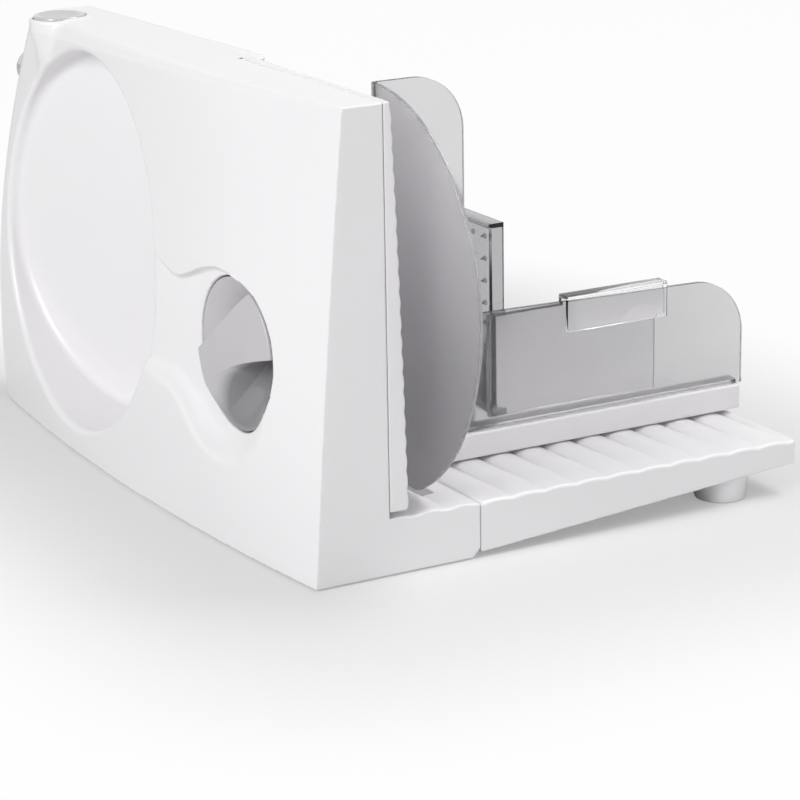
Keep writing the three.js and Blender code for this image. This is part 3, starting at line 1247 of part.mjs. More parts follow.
function cordGrommet() {
  const reach = GROMMET_RADIUS + GROMMET_FLANGE;
  const face = Math.max(farY(GROMMET_HEIGHT - reach), farY(GROMMET_HEIGHT + reach)) + FIT;
  const flange = round('y', GROMMET_ACROSS, GROMMET_HEIGHT, face, face + 2,
    reach);
  const neck = round('y', GROMMET_ACROSS, GROMMET_HEIGHT, face - 8, face + 1, GROMMET_RADIUS);
  const bore = round('y', GROMMET_ACROSS, GROMMET_HEIGHT, face - 20, face + 20, GROMMET_BORE);
  return flange.add(neck).subtract(bore);
}

// Scene graph
const LOOKS = {
  white: { color: 0xf2f2f0, roughness: 0.3, metalness: 0 },
  knobGrey: { color: 0xd9dadb, roughness: 0.22, metalness: 0 },
  smoky: { color: 0x8b8d90, roughness: 0.12, metalness: 0, transparent: true, opacity: 0.5 },
  steel: { color: 0xc4c7ca, roughness: 0.25, metalness: 1 },
  iron: { color: 0x55585c, roughness: 0.55, metalness: 0.8 },
  copper: { color: 0xa9623a, roughness: 0.4, metalness: 1 },
  brass: { color: 0xb8985a, roughness: 0.35, metalness: 1 },
  nylon: { color: 0xdcd8cc, roughness: 0.5, metalness: 0 },
  rubber: { color: 0x3b3c3e, roughness: 0.85, metalness: 0 },
  black: { color: 0x2a2b2d, roughness: 0.5, metalness: 0 },
};

function piece(name, body, look) {
  const mesh = body.getMesh();
  const geometry = new THREE.BufferGeometry();
  geometry.setAttribute('position', new THREE.BufferAttribute(mesh.vertProperties, 3));
  geometry.setIndex(new THREE.BufferAttribute(mesh.triVerts, 1));
  geometry.computeVertexNormals();
  const part = new THREE.Mesh(geometry, new THREE.MeshStandardMaterial(LOOKS[look]));
  part.name = name;
  return part;
}

function assembly(...children) {
  return new THREE.Group().add(...children);
}

const housing = assembly(
  piece('back_housing', backHousing(), 'white'),
  piece('base_plate', basePlate(), 'white'),
  ...padPlaces().map((place, i) => piece(`rubber_foot_${i + 1}`, rubberPad(place), 'rubber')),
  piece('guide_panel', guidePanel(), 'white'),
  piece('drive_cover', driveCover(), 'white'),
  piece('table', table(), 'white'),
  ...lugPlaces.map((y, i) => piece(`table_hinge_pin_${i + 1}`, hingePin(y), 'steel')),
  piece('table_foot_near', tableFoot(TABLE_FOOT_FROM_END), 'white'),
  piece('table_foot_far', tableFoot(tableLength - TABLE_FOOT_FROM_END), 'white'),
  piece('blade_axle', bladeAxle(), 'steel'),
  piece('idler_axle', idlerAxle(), 'steel'),
  piece('motor_can', motorCan(), 'iron'),
  piece('motor_end_cap', motorEndCap(), 'black'),
  piece('motor_magnet_1', magnet(1), 'iron'),
  piece('motor_magnet_2', magnet(-1), 'iron'),
  piece('worm_bearing', wormBearing(), 'brass'),
  piece('microswitch', microswitch(), 'black'),
  piece('cord_grommet', cordGrommet(), 'rubber'),
);

const bladeGroup = assembly(
  piece('blade', blade(), 'steel'),
  piece('blade_gear', bladeGear(), 'nylon'),
  piece('blade_lock', bladeLock(), 'black'),
);

const drive = assembly(
  piece('idler_gear', idlerGear(), 'nylon'),
  piece('armature', armature(), 'copper'),
  piece('worm', worm(), 'brass'),
);

const thickness = assembly(
  piece('thickness_knob', thicknessKnob(), 'knobGrey'),
  piece('thickness_drum', thicknessDrum(), 'nylon'),
  piece('stop_plate', stopPlate(), 'white'),
  piece('guide_rod_upper', guideRod(rodHeights()[0]), 'steel'),
  piece('guide_rod_lower', guideRod(rodHeights()[1]), 'steel'),
);

const pusher = assembly(
  piece('pusher_plate', pusherPlate(), 'smoky'),
  piece('pusher_grip', pusherGrip(), 'smoky'),
);

const carriage = assembly(
  piece('carriage_beam', carriageBeam(), 'white'),
  piece('carriage_shield', carriageShield(), 'smoky'),
  pusher,
);

const switches = assembly(
  piece('on_button', onButton(), 'white'),
  piece('on_button_spring', onButtonSpring(), 'steel'),
  piece('safety_button', safetyButton(), 'white'),
  piece('safety_spring', safetySpring(), 'steel'),
);

const slicer = assembly(housing, bladeGroup, drive, thickness, carriage, switches);

// The origin is the middle of the footprint, on the surface that the slicer stands on
const bounds = new THREE.Box3().setFromObject(slicer);
const middle = bounds.getCenter(new THREE.Vector3());
slicer.position.set(-middle.x, -middle.y, 0);

export default slicer;
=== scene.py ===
# Household food slicer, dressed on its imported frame. Pieces are drawn in millimetres from the knob end's lower
# corner, X towards the food, Y towards the switch end and Z up, and moved to the frame as each mesh is made.
import math

import bmesh
import bpy
import numpy as np
from mathutils import Matrix, Vector


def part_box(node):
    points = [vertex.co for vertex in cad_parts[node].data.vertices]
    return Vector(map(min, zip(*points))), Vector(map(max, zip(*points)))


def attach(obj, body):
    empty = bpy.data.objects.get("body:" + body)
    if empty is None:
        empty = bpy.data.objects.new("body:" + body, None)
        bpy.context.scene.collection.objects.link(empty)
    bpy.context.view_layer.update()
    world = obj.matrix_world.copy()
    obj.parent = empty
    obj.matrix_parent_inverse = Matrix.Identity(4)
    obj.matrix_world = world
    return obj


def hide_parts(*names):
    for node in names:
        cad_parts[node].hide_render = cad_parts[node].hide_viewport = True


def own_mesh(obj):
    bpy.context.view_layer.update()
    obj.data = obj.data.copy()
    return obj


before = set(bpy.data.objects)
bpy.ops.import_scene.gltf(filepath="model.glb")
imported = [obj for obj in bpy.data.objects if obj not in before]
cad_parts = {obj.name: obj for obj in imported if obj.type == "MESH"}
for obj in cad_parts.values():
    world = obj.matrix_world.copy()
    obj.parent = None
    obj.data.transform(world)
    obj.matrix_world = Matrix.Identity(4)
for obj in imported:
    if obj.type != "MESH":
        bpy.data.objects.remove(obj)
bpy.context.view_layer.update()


# Studio: a pale floor, a white room and soft lamps, with the camera where the photograph was taken.
# Floor and room only show as background; the floor keeps the slicer's shadow.

class Wire:
    """A shader socket that takes part in sums; node() adds any other node."""

    def __init__(self, tree, socket=None):
        self.tree = tree
        self.socket = socket

    def node(self, kind, settings, sockets, out=0):
        made = self.tree.nodes.new(kind)
        for name, value in settings.items():
            setattr(made, name, value)
        for key, value in sockets.items():
            if isinstance(value, Wire):
                self.tree.links.new(value.socket, made.inputs[key])
            else:
                made.inputs[key].default_value = value
        return Wire(self.tree, made.outputs[out] if made.outputs else None)

    def maths(self, operation, a, b=0.0):
        return self.node("ShaderNodeMath", {"operation": operation}, {0: a, 1: b})

    def __add__(self, other):
        return self.maths("ADD", self, other)

    def __radd__(self, other):
        return self.maths("ADD", other, self)

    def __sub__(self, other):
        return self.maths("SUBTRACT", self, other)

    def __rsub__(self, other):
        return self.maths("SUBTRACT", other, self)

    def __mul__(self, other):
        return self.maths("MULTIPLY", self, other)

    def __rmul__(self, other):
        return self.maths("MULTIPLY", other, self)


FLOOR_REACH = 6
HALF_FOOTPRINT = (0.13, 0.19, 0)
FADE_LENGTH, NEAR_GLOW, FAR_GLOW = 0.16, 0.3, 0.95
WHITE = (1, 1, 1, 1)
floor_mesh = bpy.data.meshes.new("floor")
floor_corners = [(FLOOR_REACH * u, FLOOR_REACH * v, 0) for u, v in ((-1, -1), (1, -1), (1, 1), (-1, 1))]
floor_mesh.from_pydata(floor_corners, [], [(0, 1, 2, 3)])
floor = bpy.data.objects.new("floor", floor_mesh)
bpy.context.scene.collection.objects.link(floor)
floor_paint = bpy.data.materials.new("floor_paint")
floor_paint.use_nodes = True
tree = floor_paint.node_tree
tree.nodes.clear()
rays = tree.nodes.new("ShaderNodeLightPath")
seen = Wire(tree, rays.outputs["Is Camera Ray"])
through = Wire(tree, rays.outputs["Is Transmission Ray"])
matt = seen.node("ShaderNodeBsdfDiffuse", {}, {"Color": (0.7, 0.7, 0.7, 1)})
glow = seen.node("ShaderNodeEmission", {}, {"Color": WHITE, "Strength": 1.0})
place = seen.node("ShaderNodeTexCoord", {}, {}, out="Object")
aside = seen.node("ShaderNodeVectorMath", {"operation": "ABSOLUTE"}, {0: place})
beyond = seen.node("ShaderNodeVectorMath", {"operation": "SUBTRACT"}, {0: aside, 1: HALF_FOOTPRINT})
outside = seen.node("ShaderNodeVectorMath", {"operation": "MAXIMUM"}, {0: beyond, 1: (0, 0, 0)})
gap = seen.node("ShaderNodeVectorMath", {"operation": "LENGTH"}, {0: outside}, out="Value")
ramp = {"interpolation_type": "SMOOTHSTEP"}
fade = seen.node("ShaderNodeMapRange", ramp, {"Value": gap, 1: 0.0, 2: FADE_LENGTH, 3: NEAR_GLOW, 4: FAR_GLOW})
looked_at = seen.maths("MAXIMUM", seen, through)
blend_out = seen.node("ShaderNodeMixShader", {}, {0: fade * looked_at, 1: matt, 2: glow})
seen.node("ShaderNodeOutputMaterial", {}, {"Surface": blend_out})
floor_mesh.materials.append(floor_paint)

room = bpy.data.worlds.new("room")
bpy.context.scene.world = room
room.use_nodes = True
tree = room.node_tree
tree.nodes.clear()
rays = tree.nodes.new("ShaderNodeLightPath")
seen = Wire(tree, rays.outputs["Is Camera Ray"])
mirrored = Wire(tree, rays.outputs["Is Glossy Ray"])
through = Wire(tree, rays.outputs["Is Transmission Ray"])
shown = seen.maths("MAXIMUM", seen.maths("MAXIMUM", seen, through), mirrored * 0.8)
sky = seen.node("ShaderNodeBackground", {}, {"Color": WHITE, "Strength": shown * 0.6 + 0.4})
seen.node("ShaderNodeOutputWorld", {}, {"Surface": sky})

# The housing's near foot and seam edge tie the drawing's millimetres to the frame's metres
MM = 1000
SEAM_AT = 79
near_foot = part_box("back_housing")[0].y * MM
seam_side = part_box("back_housing")[1].x * MM
SHIFT = np.array([seam_side - SEAM_AT, near_foot, 0.0])


def placed(points):
    """Points of the drawing, where they lie in the frame."""
    return (np.asarray(points) + SHIFT) / MM


def lamp(name, place, target, size, power):
    data = bpy.data.lights.new(name, "AREA")
    data.shape = "DISK"
    data.size = size
    data.energy = power
    made = bpy.data.objects.new(name, data)
    made.location = place
    aim = Vector(target) - Vector(place)
    made.rotation_euler = aim.to_track_quat("-Z", "Y").to_euler()
    bpy.context.scene.collection.objects.link(made)


lamp("lamp_back_face", (-1.5, -0.5, 0.82), (-0.05, 0.0, 0.09), 0.9, 15.2)
lamp("lamp_overhead", (0.9, -0.2, 1.5), (0.1, 0, 0.05), 1.0, 15)
lamp("lamp_front", (0.6, -1.9, 0.9), (0.05, -0.1, 0.08), 1.2, 5)

YAW, PITCH, ROLL = map(math.radians, (29.09, 16.77, -0.96))
CAMERA_AT = (-522.25, -1012.36, 425.06)
SENSOR_WIDTH, FOCAL_PIXELS, PICTURE_PIXELS = 36, 2953, 800
ahead = Vector((math.sin(YAW) * math.cos(PITCH), math.cos(YAW) * math.cos(PITCH), -math.sin(PITCH)))
level = Vector((math.cos(YAW), -math.sin(YAW), 0))
upward = level.cross(ahead)
right = math.cos(ROLL) * level + math.sin(ROLL) * upward
upright = -math.sin(ROLL) * level + math.cos(ROLL) * upward
camera_data = bpy.data.cameras.new("camera")
camera_data.sensor_width = SENSOR_WIDTH
camera_data.lens = FOCAL_PIXELS * SENSOR_WIDTH / PICTURE_PIXELS
camera_data.clip_end = 30
camera = bpy.data.objects.new("camera", camera_data)
turned_to = Matrix((right, upright, -ahead)).transposed().to_4x4()
camera.matrix_world = Matrix.Translation(Vector(placed(CAMERA_AT))) @ turned_to
bpy.context.scene.collection.objects.link(camera)
bpy.context.scene.camera = camera
bpy.context.scene.view_settings.view_transform = "Standard"


# Back housing: one moulded shell of semi-gloss white plastic, bowed at the back, with the slice dish, the scoop,
# the knob's well, the button boss and the base strip in one. It is drawn as a field of distances, so that its
# edges get true fillets, and open pockets on the food side take the drive and the stop plate's guides.

class Finish:
    """A material on the principled shader; here is the object's own space, for patterns."""

    def __init__(self, name, **constants):
        self.material = bpy.data.materials.new(name)
        self.material.use_nodes = True
        tree = self.material.node_tree
        self.shader = tree.nodes["Principled BSDF"]
        for key, value in constants.items():
            self.shader.inputs[key.replace("_", " ")].default_value = value
        self.here = Wire(tree).node("ShaderNodeTexCoord", {}, {}, out="Object")

    def feed(self, key, wire):
        wire.tree.links.new(wire.socket, self.shader.inputs[key])

    def noise(self, scale, detail=2.0, stretch=(1, 1, 1)):
        spread = self.here.node("ShaderNodeMapping", {}, {"Vector": self.here, "Scale": stretch})
        return self.here.node("ShaderNodeTexNoise", {}, {"Vector": spread, "Scale": scale, "Detail": detail})

    def along(self, letter):
        return self.here.node("ShaderNodeSeparateXYZ", {}, {0: self.here}, out=letter)

    def tone(self, mask, first, second):
        """Base colour that goes from the first colour to the second with the mask."""
        mixed = self.here.node("ShaderNodeMix", {"data_type": "RGBA", "clamp_factor": True},
                               {0: mask, 6: first, 7: second}, out=2)
        self.feed("Base Color", mixed)

    def relief(self, height, depth, strength):
        bump = self.here.node("ShaderNodeBump", {}, {"Strength": strength, "Distance": depth, "Height": height})
        self.feed("Normal", bump)


white_plastic = Finish("white_plastic", IOR=1.5, Coat_Weight=0.15, Coat_Roughness=0.12)
cloud = white_plastic.noise(9.0, 3.0)
white_plastic.tone(cloud, (0.864, 0.852, 0.866, 1), (0.879, 0.867, 0.88, 1))
white_plastic.feed("Roughness", white_plastic.noise(60.0) * 0.08 + 0.27)
white_plastic.relief(white_plastic.noise(1500.0, 1.0), 0.00002, 0.25)


def rounded(a, b, radius):
    """Where both fields hold, with a fillet along their edge."""
    corner = np.hypot(np.maximum(a + radius, 0), np.maximum(b + radius, 0))
    return np.minimum(-radius, np.maximum(a, b)) + corner


def joined(a, b, radius):
    return -rounded(-a, -b, radius)


def less(a, b, radius):
    return rounded(a, -b, radius)


def slab(value, low, high):
    return np.maximum(low - value, value - high)


def lines(*spans):
    """Grid lines from spans of (start, end, spacing)."""
    runs = [np.linspace(a, b, max(2, round((b - a) / s) + 1)) for a, b, s in spans]
    return np.unique(np.round(np.concatenate(runs), 4))


def smooth(mesh, sharp_above=None):
    """Shades a mesh smooth, apart from edges that turn by more than an angle in degrees."""
    mesh.polygons.foreach_set("use_smooth", np.ones(len(mesh.polygons), dtype=bool))
    if sharp_above:
        mesh.set_sharp_from_angle(angle=math.radians(sharp_above))


def slope_of(field, points):
    small = 0.02
    base = field(*points.T)
    parts = [field(*(points + step).T) - base for step in np.eye(3) * small]
    return base, np.stack(parts, 1) / small


def moulded(name, field, xs, ys, zs, keep=1.0):
    """Skin of a distance field on a grid: one point in each crossed cell, drawn onto the surface.

    A keep below one thins out the triangles by that share where the skin is nearly flat."""
    value = np.broadcast_to(field(xs[:, None, None], ys[None, :, None], zs[None, None, :]),
                            (len(xs), len(ys), len(zs)))
    solid = value < 0
    filled = sum(solid[i:len(xs) - 1 + i, j:len(ys) - 1 + j, k:len(zs) - 1 + k].astype(np.int8)
                 for i in (0, 1) for j in (0, 1) for k in (0, 1))
    crossed = (filled > 0) & (filled < 8)
    number = np.full(crossed.shape, -1)
    number[crossed] = np.arange(crossed.sum())
    cell = np.argwhere(crossed)
    total = np.zeros((len(cell), 3))
    hits = np.zeros(len(cell))
    for axis in range(3):
        along = np.eye(3, dtype=int)[axis]
        sides = [np.eye(3, dtype=int)[a] for a in range(3) if a != axis]
        for p in (0, 1):
            for q in (0, 1):
                start = cell + p * sides[0] + q * sides[1]
                end = start + along
                a, b = value[tuple(start.T)], value[tuple(end.T)]
                cut = (a < 0) != (b < 0)
                share = np.where(cut, a / np.where(cut, a - b, 1), 0)[:, None]
                first = np.stack([xs[start[:, 0]], ys[start[:, 1]], zs[start[:, 2]]], 1)
                last = np.stack([xs[end[:, 0]], ys[end[:, 1]], zs[end[:, 2]]], 1)
                total += np.where(cut[:, None], first + share * (last - first), 0)
                hits += cut
    points = total / hits[:, None]
    longest_step, least_steep = 0.8, 0.1
    for _ in range(3):
        off, slope = slope_of(field, points)
        steep = np.maximum((slope ** 2).sum(1), least_steep)
        points = points - np.clip(off / steep, -longest_step, longest_step)[:, None] * slope
    quads = []
    for axis in range(3):
        low = solid[tuple(slice(0, -1) if a == axis else slice(1, -1) for a in range(3))]
        high = solid[tuple(slice(1, None) if a == axis else slice(1, -1) for a in range(3))]
        for out, where in ((True, low & ~high), (False, ~low & high)):
            spot = np.argwhere(where)
            spot[:, [a for a in range(3) if a != axis]] += 1
            u, v = [np.eye(3, dtype=int)[a] for a in ((axis + 1) % 3, (axis + 2) % 3)]
            ring = [spot - u - v, spot - v, spot, spot - u]
            corners = [number[tuple(r.T)] for r in (ring if out else ring[::-1])]
            quads.append(np.stack(corners, 1))
    quads = np.concatenate(quads)
    mesh = bpy.data.meshes.new(name)
    mesh.from_pydata(placed(points).tolist(), [], quads.tolist())
    made = bpy.data.objects.new(name, mesh)
    bpy.context.scene.collection.objects.link(made)
    if keep < 1:
        made.modifiers.new("thin_out", "DECIMATE").ratio = keep
        mesh = bpy.data.meshes.new_from_object(made.evaluated_get(bpy.context.evaluated_depsgraph_get()))
        made.modifiers.clear()
        made.data = mesh
        mesh.name = name
    spots = np.empty(3 * len(mesh.vertices))
    mesh.vertices.foreach_get("co", spots)
    slope = slope_of(field, spots.reshape(-1, 3) * MM - SHIFT)[1]
    normal = slope / np.maximum(np.linalg.norm(slope, axis=1), 1e-9)[:, None]
    smooth(mesh)
    mesh.normals_split_custom_set_from_vertices(normal.tolist())
    return made


BODY_LENGTH, BODY_MIDDLE, BODY_HEIGHT = 340, 170, 200
FOOD_FACE, STOP_FACE = 54, 35.5
STOP_LENGTH, STOP_CORNER = 139.0, 20.0
BLADE_ALONG, BLADE_HEIGHT = 230, 101
DISH_START, DISH_DEPTH, DISH_RADIUS = 158, 51, 88
KNOB_ALONG, KNOB_HEIGHT = 69, 85
KNOB_WELL, KNOB_WELL_FLOOR, SPINDLE_BORE = 33.7, 17.1, 12.9
ROD_HIGH, ROD_LOW, ROD_BORE = 150, 42, 3.5
BUTTON_ACROSS, BUTTON_ALONG = 16.8, 282.2
BOSS_RADIUS, BOSS_TAPER, BOSS_LOW, BOSS_WIDEST, BOSS_TOP = 14.4, 0.27, 163, 191.5, 197.5
BUTTON_WELL, BUTTON_WELL_FLOOR = 12.6, 192.6
SPRING_WELL, SPRING_WELL_FLOOR = 6.85, 186.1
STEM_BORE, STEM_BORE_FLOOR = 3.5, 178
SAFETY_ACROSS, SAFETY_HEIGHT = 22.5, 166
SAFETY_BORE, SAFETY_POCKET, SAFETY_FLOOR, SAFETY_LIP = 10, 10.9, 305, 316.1
TABLE_LEVEL, RIB_PITCH = 25.5, 16


def swell(z):
    level = z / BODY_HEIGHT
    return 4 * level * (1 - level)


def bowed_back(y, z):
    belly = 7 * (y / BODY_LENGTH) ** 2 + 4.6 * np.exp(-((y - 78) / 60) ** 2)
    bow = 10 * (1 - ((y - BODY_MIDDLE) / BODY_MIDDLE) ** 2)
    return 16.6 * z / BODY_HEIGHT - bow - belly * swell(z)


def far_end(z):
    return BODY_LENGTH - 26.2 * z / BODY_HEIGHT + 10.6 * swell(z)


def ribbed_level(x, y, left, right):
    share = (x - left) / (right - left)
    fall = 0.4 * (2 * share - 1) ** 2
    depth = 0.9 + 0.3 * np.clip(y / 45, 0, 1)
    beside = np.abs((x - SEAM_AT + RIB_PITCH / 2) % RIB_PITCH - RIB_PITCH / 2)
    crease = 1.1 * np.clip((y - 20) / 30, 0, 1) * np.exp(-beside / 0.8)
    return TABLE_LEVEL - fall - crease - depth * (1 - np.abs(np.sin(np.pi * (x - SEAM_AT) / RIB_PITCH)))


def dish_floor(y):
    return DISH_DEPTH - 0.265625 * (y - DISH_START)


def dish_face(y):
    return DISH_DEPTH - 0.285 * (y - DISH_START)


def hinge_place(y, spare):
    return np.minimum(slab(y, 110 - spare, 134 + spare), slab(y, 270 - spare, 294 + spare))


def window(y, z, near, far, low, high, corner):
    """Flat outline with round corners, in the plane across the food."""
    a = np.abs(y - (near + far) / 2) - (far - near) / 2 + corner
    b = np.abs(z - (low + high) / 2) - (high - low) / 2 + corner
    return np.hypot(np.maximum(a, 0), np.maximum(b, 0)) + np.minimum(np.maximum(a, b), 0) - corner


def upright_body(x, y, z):
    back = bowed_back(y, z) - x
    far = (y - far_end(z)) / 1.03
    top = z - BODY_HEIGHT + 3 * y / BODY_LENGTH
    along = np.clip(y / BODY_LENGTH, 0, 1)
    body = rounded(rounded(back, far, 12.0), top, 1.0 + 8.0 * along)
    stop_clear = 1.2 - rounded(y - STOP_LENGTH, z - 200.4, STOP_CORNER)
    lowered = 5.5 * np.clip((152 - y) / 28, 0, 1) ** 1.5 * np.clip((x - 38) / 10, 0, 1)
    front = np.minimum(x - STOP_FACE, rounded(x - FOOD_FACE, stop_clear, 7.0))
    body = rounded(body, front, 0.4 + 3.6 * np.clip((y - 150) / 60, 0, 1))
    body = np.maximum(np.maximum(body, rounded(x - FOOD_FACE, top, 2 + 13 * along)), top + lowered)
    across = np.hypot(x - BUTTON_ACROSS, y - BUTTON_ALONG)
    cone = (across - BOSS_RADIUS + BOSS_TAPER * np.maximum(BOSS_WIDEST - z, 0)) * 0.97
    boss = rounded(np.maximum(cone, BOSS_LOW - z), z - BOSS_TOP, 1.2)
    return joined(body, boss, 3.5)


def base_strip(x, y, z):
    side = np.maximum(rounded(x - SEAM_AT, z - ribbed_level(x, y, 29.5, SEAM_AT), 0.5), 30 - x)
    side = np.maximum(side, (x - 76 - z + 1.2) * 0.7071)
    return rounded(side, y - 338.9, 1.2)


def slice_dish(x, y, z):
    drum = np.hypot(y - BLADE_ALONG, z - BLADE_HEIGHT) - DISH_RADIUS
    floor_side = np.minimum((x - dish_face(y)) / 1.035, y - DISH_START)
    return rounded(drum, floor_side, 4.0)


def finger_scoop(x, y, z):
    bowl = np.hypot(y - 78, z - 80) - 40.5
    flare = 5.8 * np.clip((y - 116) / 21, 0, 1.4) ** 2
    lane = np.maximum(slab(z, 59, 109.3 + flare), slab(y, 100, 170))
    plan = joined(bowl, lane, 11.0)
    hollow = 2.5 + 9.0 * np.clip((100 - z) / 45, 0, 1)
    return rounded(plan, x - 0.5 + 0.09 * np.maximum(y - 102, 0), hollow)


def knob_well(x, y, z):
    return rounded(np.hypot(y - KNOB_ALONG, z - KNOB_HEIGHT) - KNOB_WELL, x - KNOB_WELL_FLOOR, 0.8)


def food_side_pockets(x, y, z):
    inside_far = y - far_end(z) + 2.5
    recess = np.maximum(window(y, z, 180.2, 326.8, 29.7, 167.3, 16), 46.8 - x)
    drive = np.maximum(window(y, z, 184.5, 322.5, 34, 163, 16), dish_floor(y) + 2.6 - x)
    axle = np.maximum(np.hypot(y - BLADE_ALONG, z - BLADE_HEIGHT) - 8, x - 49.9)
    drive = np.maximum(np.maximum(np.minimum(recess, drive), inside_far), -axle)
    guide = np.minimum(np.maximum(window(y, z, 5.7, 132.3, 27.7, 190.3, 16), 32.7 - x),
                       np.maximum(window(y, z, 10, 128, 32, 186, 16), 20 - x))
    spindle = np.maximum(np.hypot(y - KNOB_ALONG, z - KNOB_HEIGHT) - SPINDLE_BORE, slab(x, 15, 40))
    rods = np.minimum(np.hypot(y - KNOB_ALONG, z - ROD_HIGH), np.hypot(y - KNOB_ALONG, z - ROD_LOW)) - ROD_BORE
    return np.minimum(np.minimum(drive, guide), np.minimum(spindle, np.maximum(rods, slab(x, 11.5, 40))))


def small_openings(x, y, z):
    blade_slot = np.maximum(np.maximum(slab(x, FOOD_FACE, 60.3), slab(y, 185, 275)), 14 - z)
    keel_groove = np.maximum(np.maximum(slab(x, 62.4, 68.2), slab(y, 21.4, 311)), 16.9 - z)
    hinge = np.maximum(np.maximum(72.6 - x, hinge_place(y, 0.4)), slab(z, 16.1, 30))
    across = np.hypot(x - BUTTON_ACROSS, y - BUTTON_ALONG)
    button = np.minimum(np.maximum(across - BUTTON_WELL, BUTTON_WELL_FLOOR - z),
                        np.maximum(across - SPRING_WELL, SPRING_WELL_FLOOR - z))
    button = np.maximum(np.minimum(button, np.maximum(across - STEM_BORE, STEM_BORE_FLOOR - z)), z - 210)
    axle = np.hypot(x - SAFETY_ACROSS, z - SAFETY_HEIGHT)
    safety = np.minimum(np.maximum(axle - SAFETY_BORE, SAFETY_FLOOR - y),
                        np.maximum(axle - SAFETY_POCKET, slab(y, SAFETY_FLOOR, SAFETY_LIP)))
    first = np.minimum(np.minimum(blade_slot, keel_groove), hinge)
    return np.minimum(np.maximum(first, z - 60), np.minimum(button, safety))


def housing_field(x, y, z):
    body = joined(upright_body(x, y, z), base_strip(x, y, z), 0.8)
    body = rounded(rounded(body, -y, 0.7), 0.7 - z, 0.4)
    underside = np.maximum(np.maximum(bowed_back(y, 0) + 5 - x, x - 72), np.maximum(3 - y, y - 333))
    body = less(body, np.maximum(underside, z - 2.9), 0.2)
    body = less(body, slice_dish(x, y, z), 3.0)
    soft = 0.9 + 1.2 * np.clip((95 - z) / 35, 0, 1)
    soft = soft + 4.0 * np.clip((90 - y) / 30, 0, 1) * np.clip((72 - z) / 20, 0, 1)
    body = less(body, finger_scoop(x, y, z), soft)
    body = less(body, knob_well(x, y, z), 0.6)
    body = less(body, food_side_pockets(x, y, z), 0.3)
    return less(body, small_openings(x, y, z), 0.4)


housing = moulded("housing_shell", housing_field,
                  lines((-13, -5, 1.6), (-5, 4, 0.9), (4, 33, 1.2), (33, 38, 0.8), (38, 52, 1.7), (52, 56, 0.9),
                        (56, 78, 1.4), (78, 81, 0.8)),
                  lines((-1.5, 4, 0.6), (4, 33, 1.75), (33, 41, 0.9), (41, 97, 1.3), (97, 105, 0.9), (105, 267, 1.75),
                        (267, 298, 1.0), (298, 345, 1.2)),
                  lines((0, 4, 0.5), (4, 50, 1.7), (50, 58, 0.9), (58, 108, 1.5), (108, 122, 0.9), (122, 190, 1.75),
                        (190, 203, 0.8)), keep=0.6)
housing.data.materials.append(white_plastic.material)
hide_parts("back_housing")
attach(housing, "housing")


# Base plate and covers: flat white mouldings screwed in from below and from the food side.
# The plate lies inside the housing's lower edge; the covers are plain, so the frame's own nodes stay.

def paint(finish, *nodes):
    for node in nodes:
        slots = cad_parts[node].data.materials
        slots.clear()
        slots.append(finish.material)


paint(white_plastic, "guide_panel", "drive_cover")
VENT_PITCH, VENT_HALF_WIDTH = 6, 1.4


def base_plate_field(x, y, z):
    sides = rounded(rounded(bowed_back(y, 0) + 5.3 - x, x - 71.7, 1.0), slab(y, 3.3, 332.7), 1.0)
    plate = rounded(sides, slab(z, 0.8, 2.6), 0.5)
    row = (y - BODY_MIDDLE) / VENT_PITCH
    vents = np.maximum(np.abs(row - np.round(row)) * VENT_PITCH - VENT_HALF_WIDTH, slab(y, 130, 210))
    return less(plate, np.maximum(vents, slab(x, 22, 52)), 0.2)


base_plate = moulded("base_plate_piece", base_plate_field, lines((-11, 78, 1.6)), lines((0, 5, 0.8), (5, 120, 3.5),
                     (120, 220, 0.75), (220, 334, 3.5), (334, 342, 0.8)), lines((0.2, 3.2, 0.5)))
base_plate.data.materials.append(white_plastic.material)
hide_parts("base_plate")
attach(base_plate, "housing")


# Rubber feet and the cord's grommet: soft dark mouldings pressed into the base plate and the far end.
# Each foot has a shallow hollow in its sole, and the grommet is open for a cord.

def closed_mesh(name, points, faces):
    """An object from points of the drawing, with all its faces turned outwards."""
    mesh = bpy.data.meshes.new(name)
    mesh.from_pydata(placed(points).tolist(), [], faces)
    shape = bmesh.new()
    shape.from_mesh(mesh)
    bmesh.ops.recalc_face_normals(shape, faces=shape.faces)
    shape.to_mesh(mesh)
    shape.free()
    made = bpy.data.objects.new(name, mesh)
    bpy.context.scene.collection.objects.link(made)
    return made


def turned(name, profile, axis, centre, sides=64):
    """Turned piece: profile of (place along the axis, radius) about a centre line."""
    along = "xyz".index(axis)
    others = [a for a in range(3) if a != along]
    angle = np.linspace(0, 2 * np.pi, sides, endpoint=False)
    points, faces, rings = [], [], []
    for place, radius in profile:
        ring = np.zeros((1 if radius == 0 else sides, 3))
        ring[:, along] = place
        ring[:, others[0]] = centre[0] + (radius * np.cos(angle) if radius else 0)
        ring[:, others[1]] = centre[1] + (radius * np.sin(angle) if radius else 0)
        rings.append((sum(len(p) for p in points), len(ring)))
        points.append(ring)
    for (a, count_a), (b, count_b) in zip(rings, rings[1:]):
        for i in range(sides):
            j = (i + 1) % sides
            corners = [a + i % count_a, a + j % count_a, b + j % count_b, b + i % count_b]
            face = list(dict.fromkeys(corners))
            if len(face) > 2:
                faces.append(face)
    made = closed_mesh(name, np.concatenate(points), faces)
    smooth(made.data, 40)
    return made


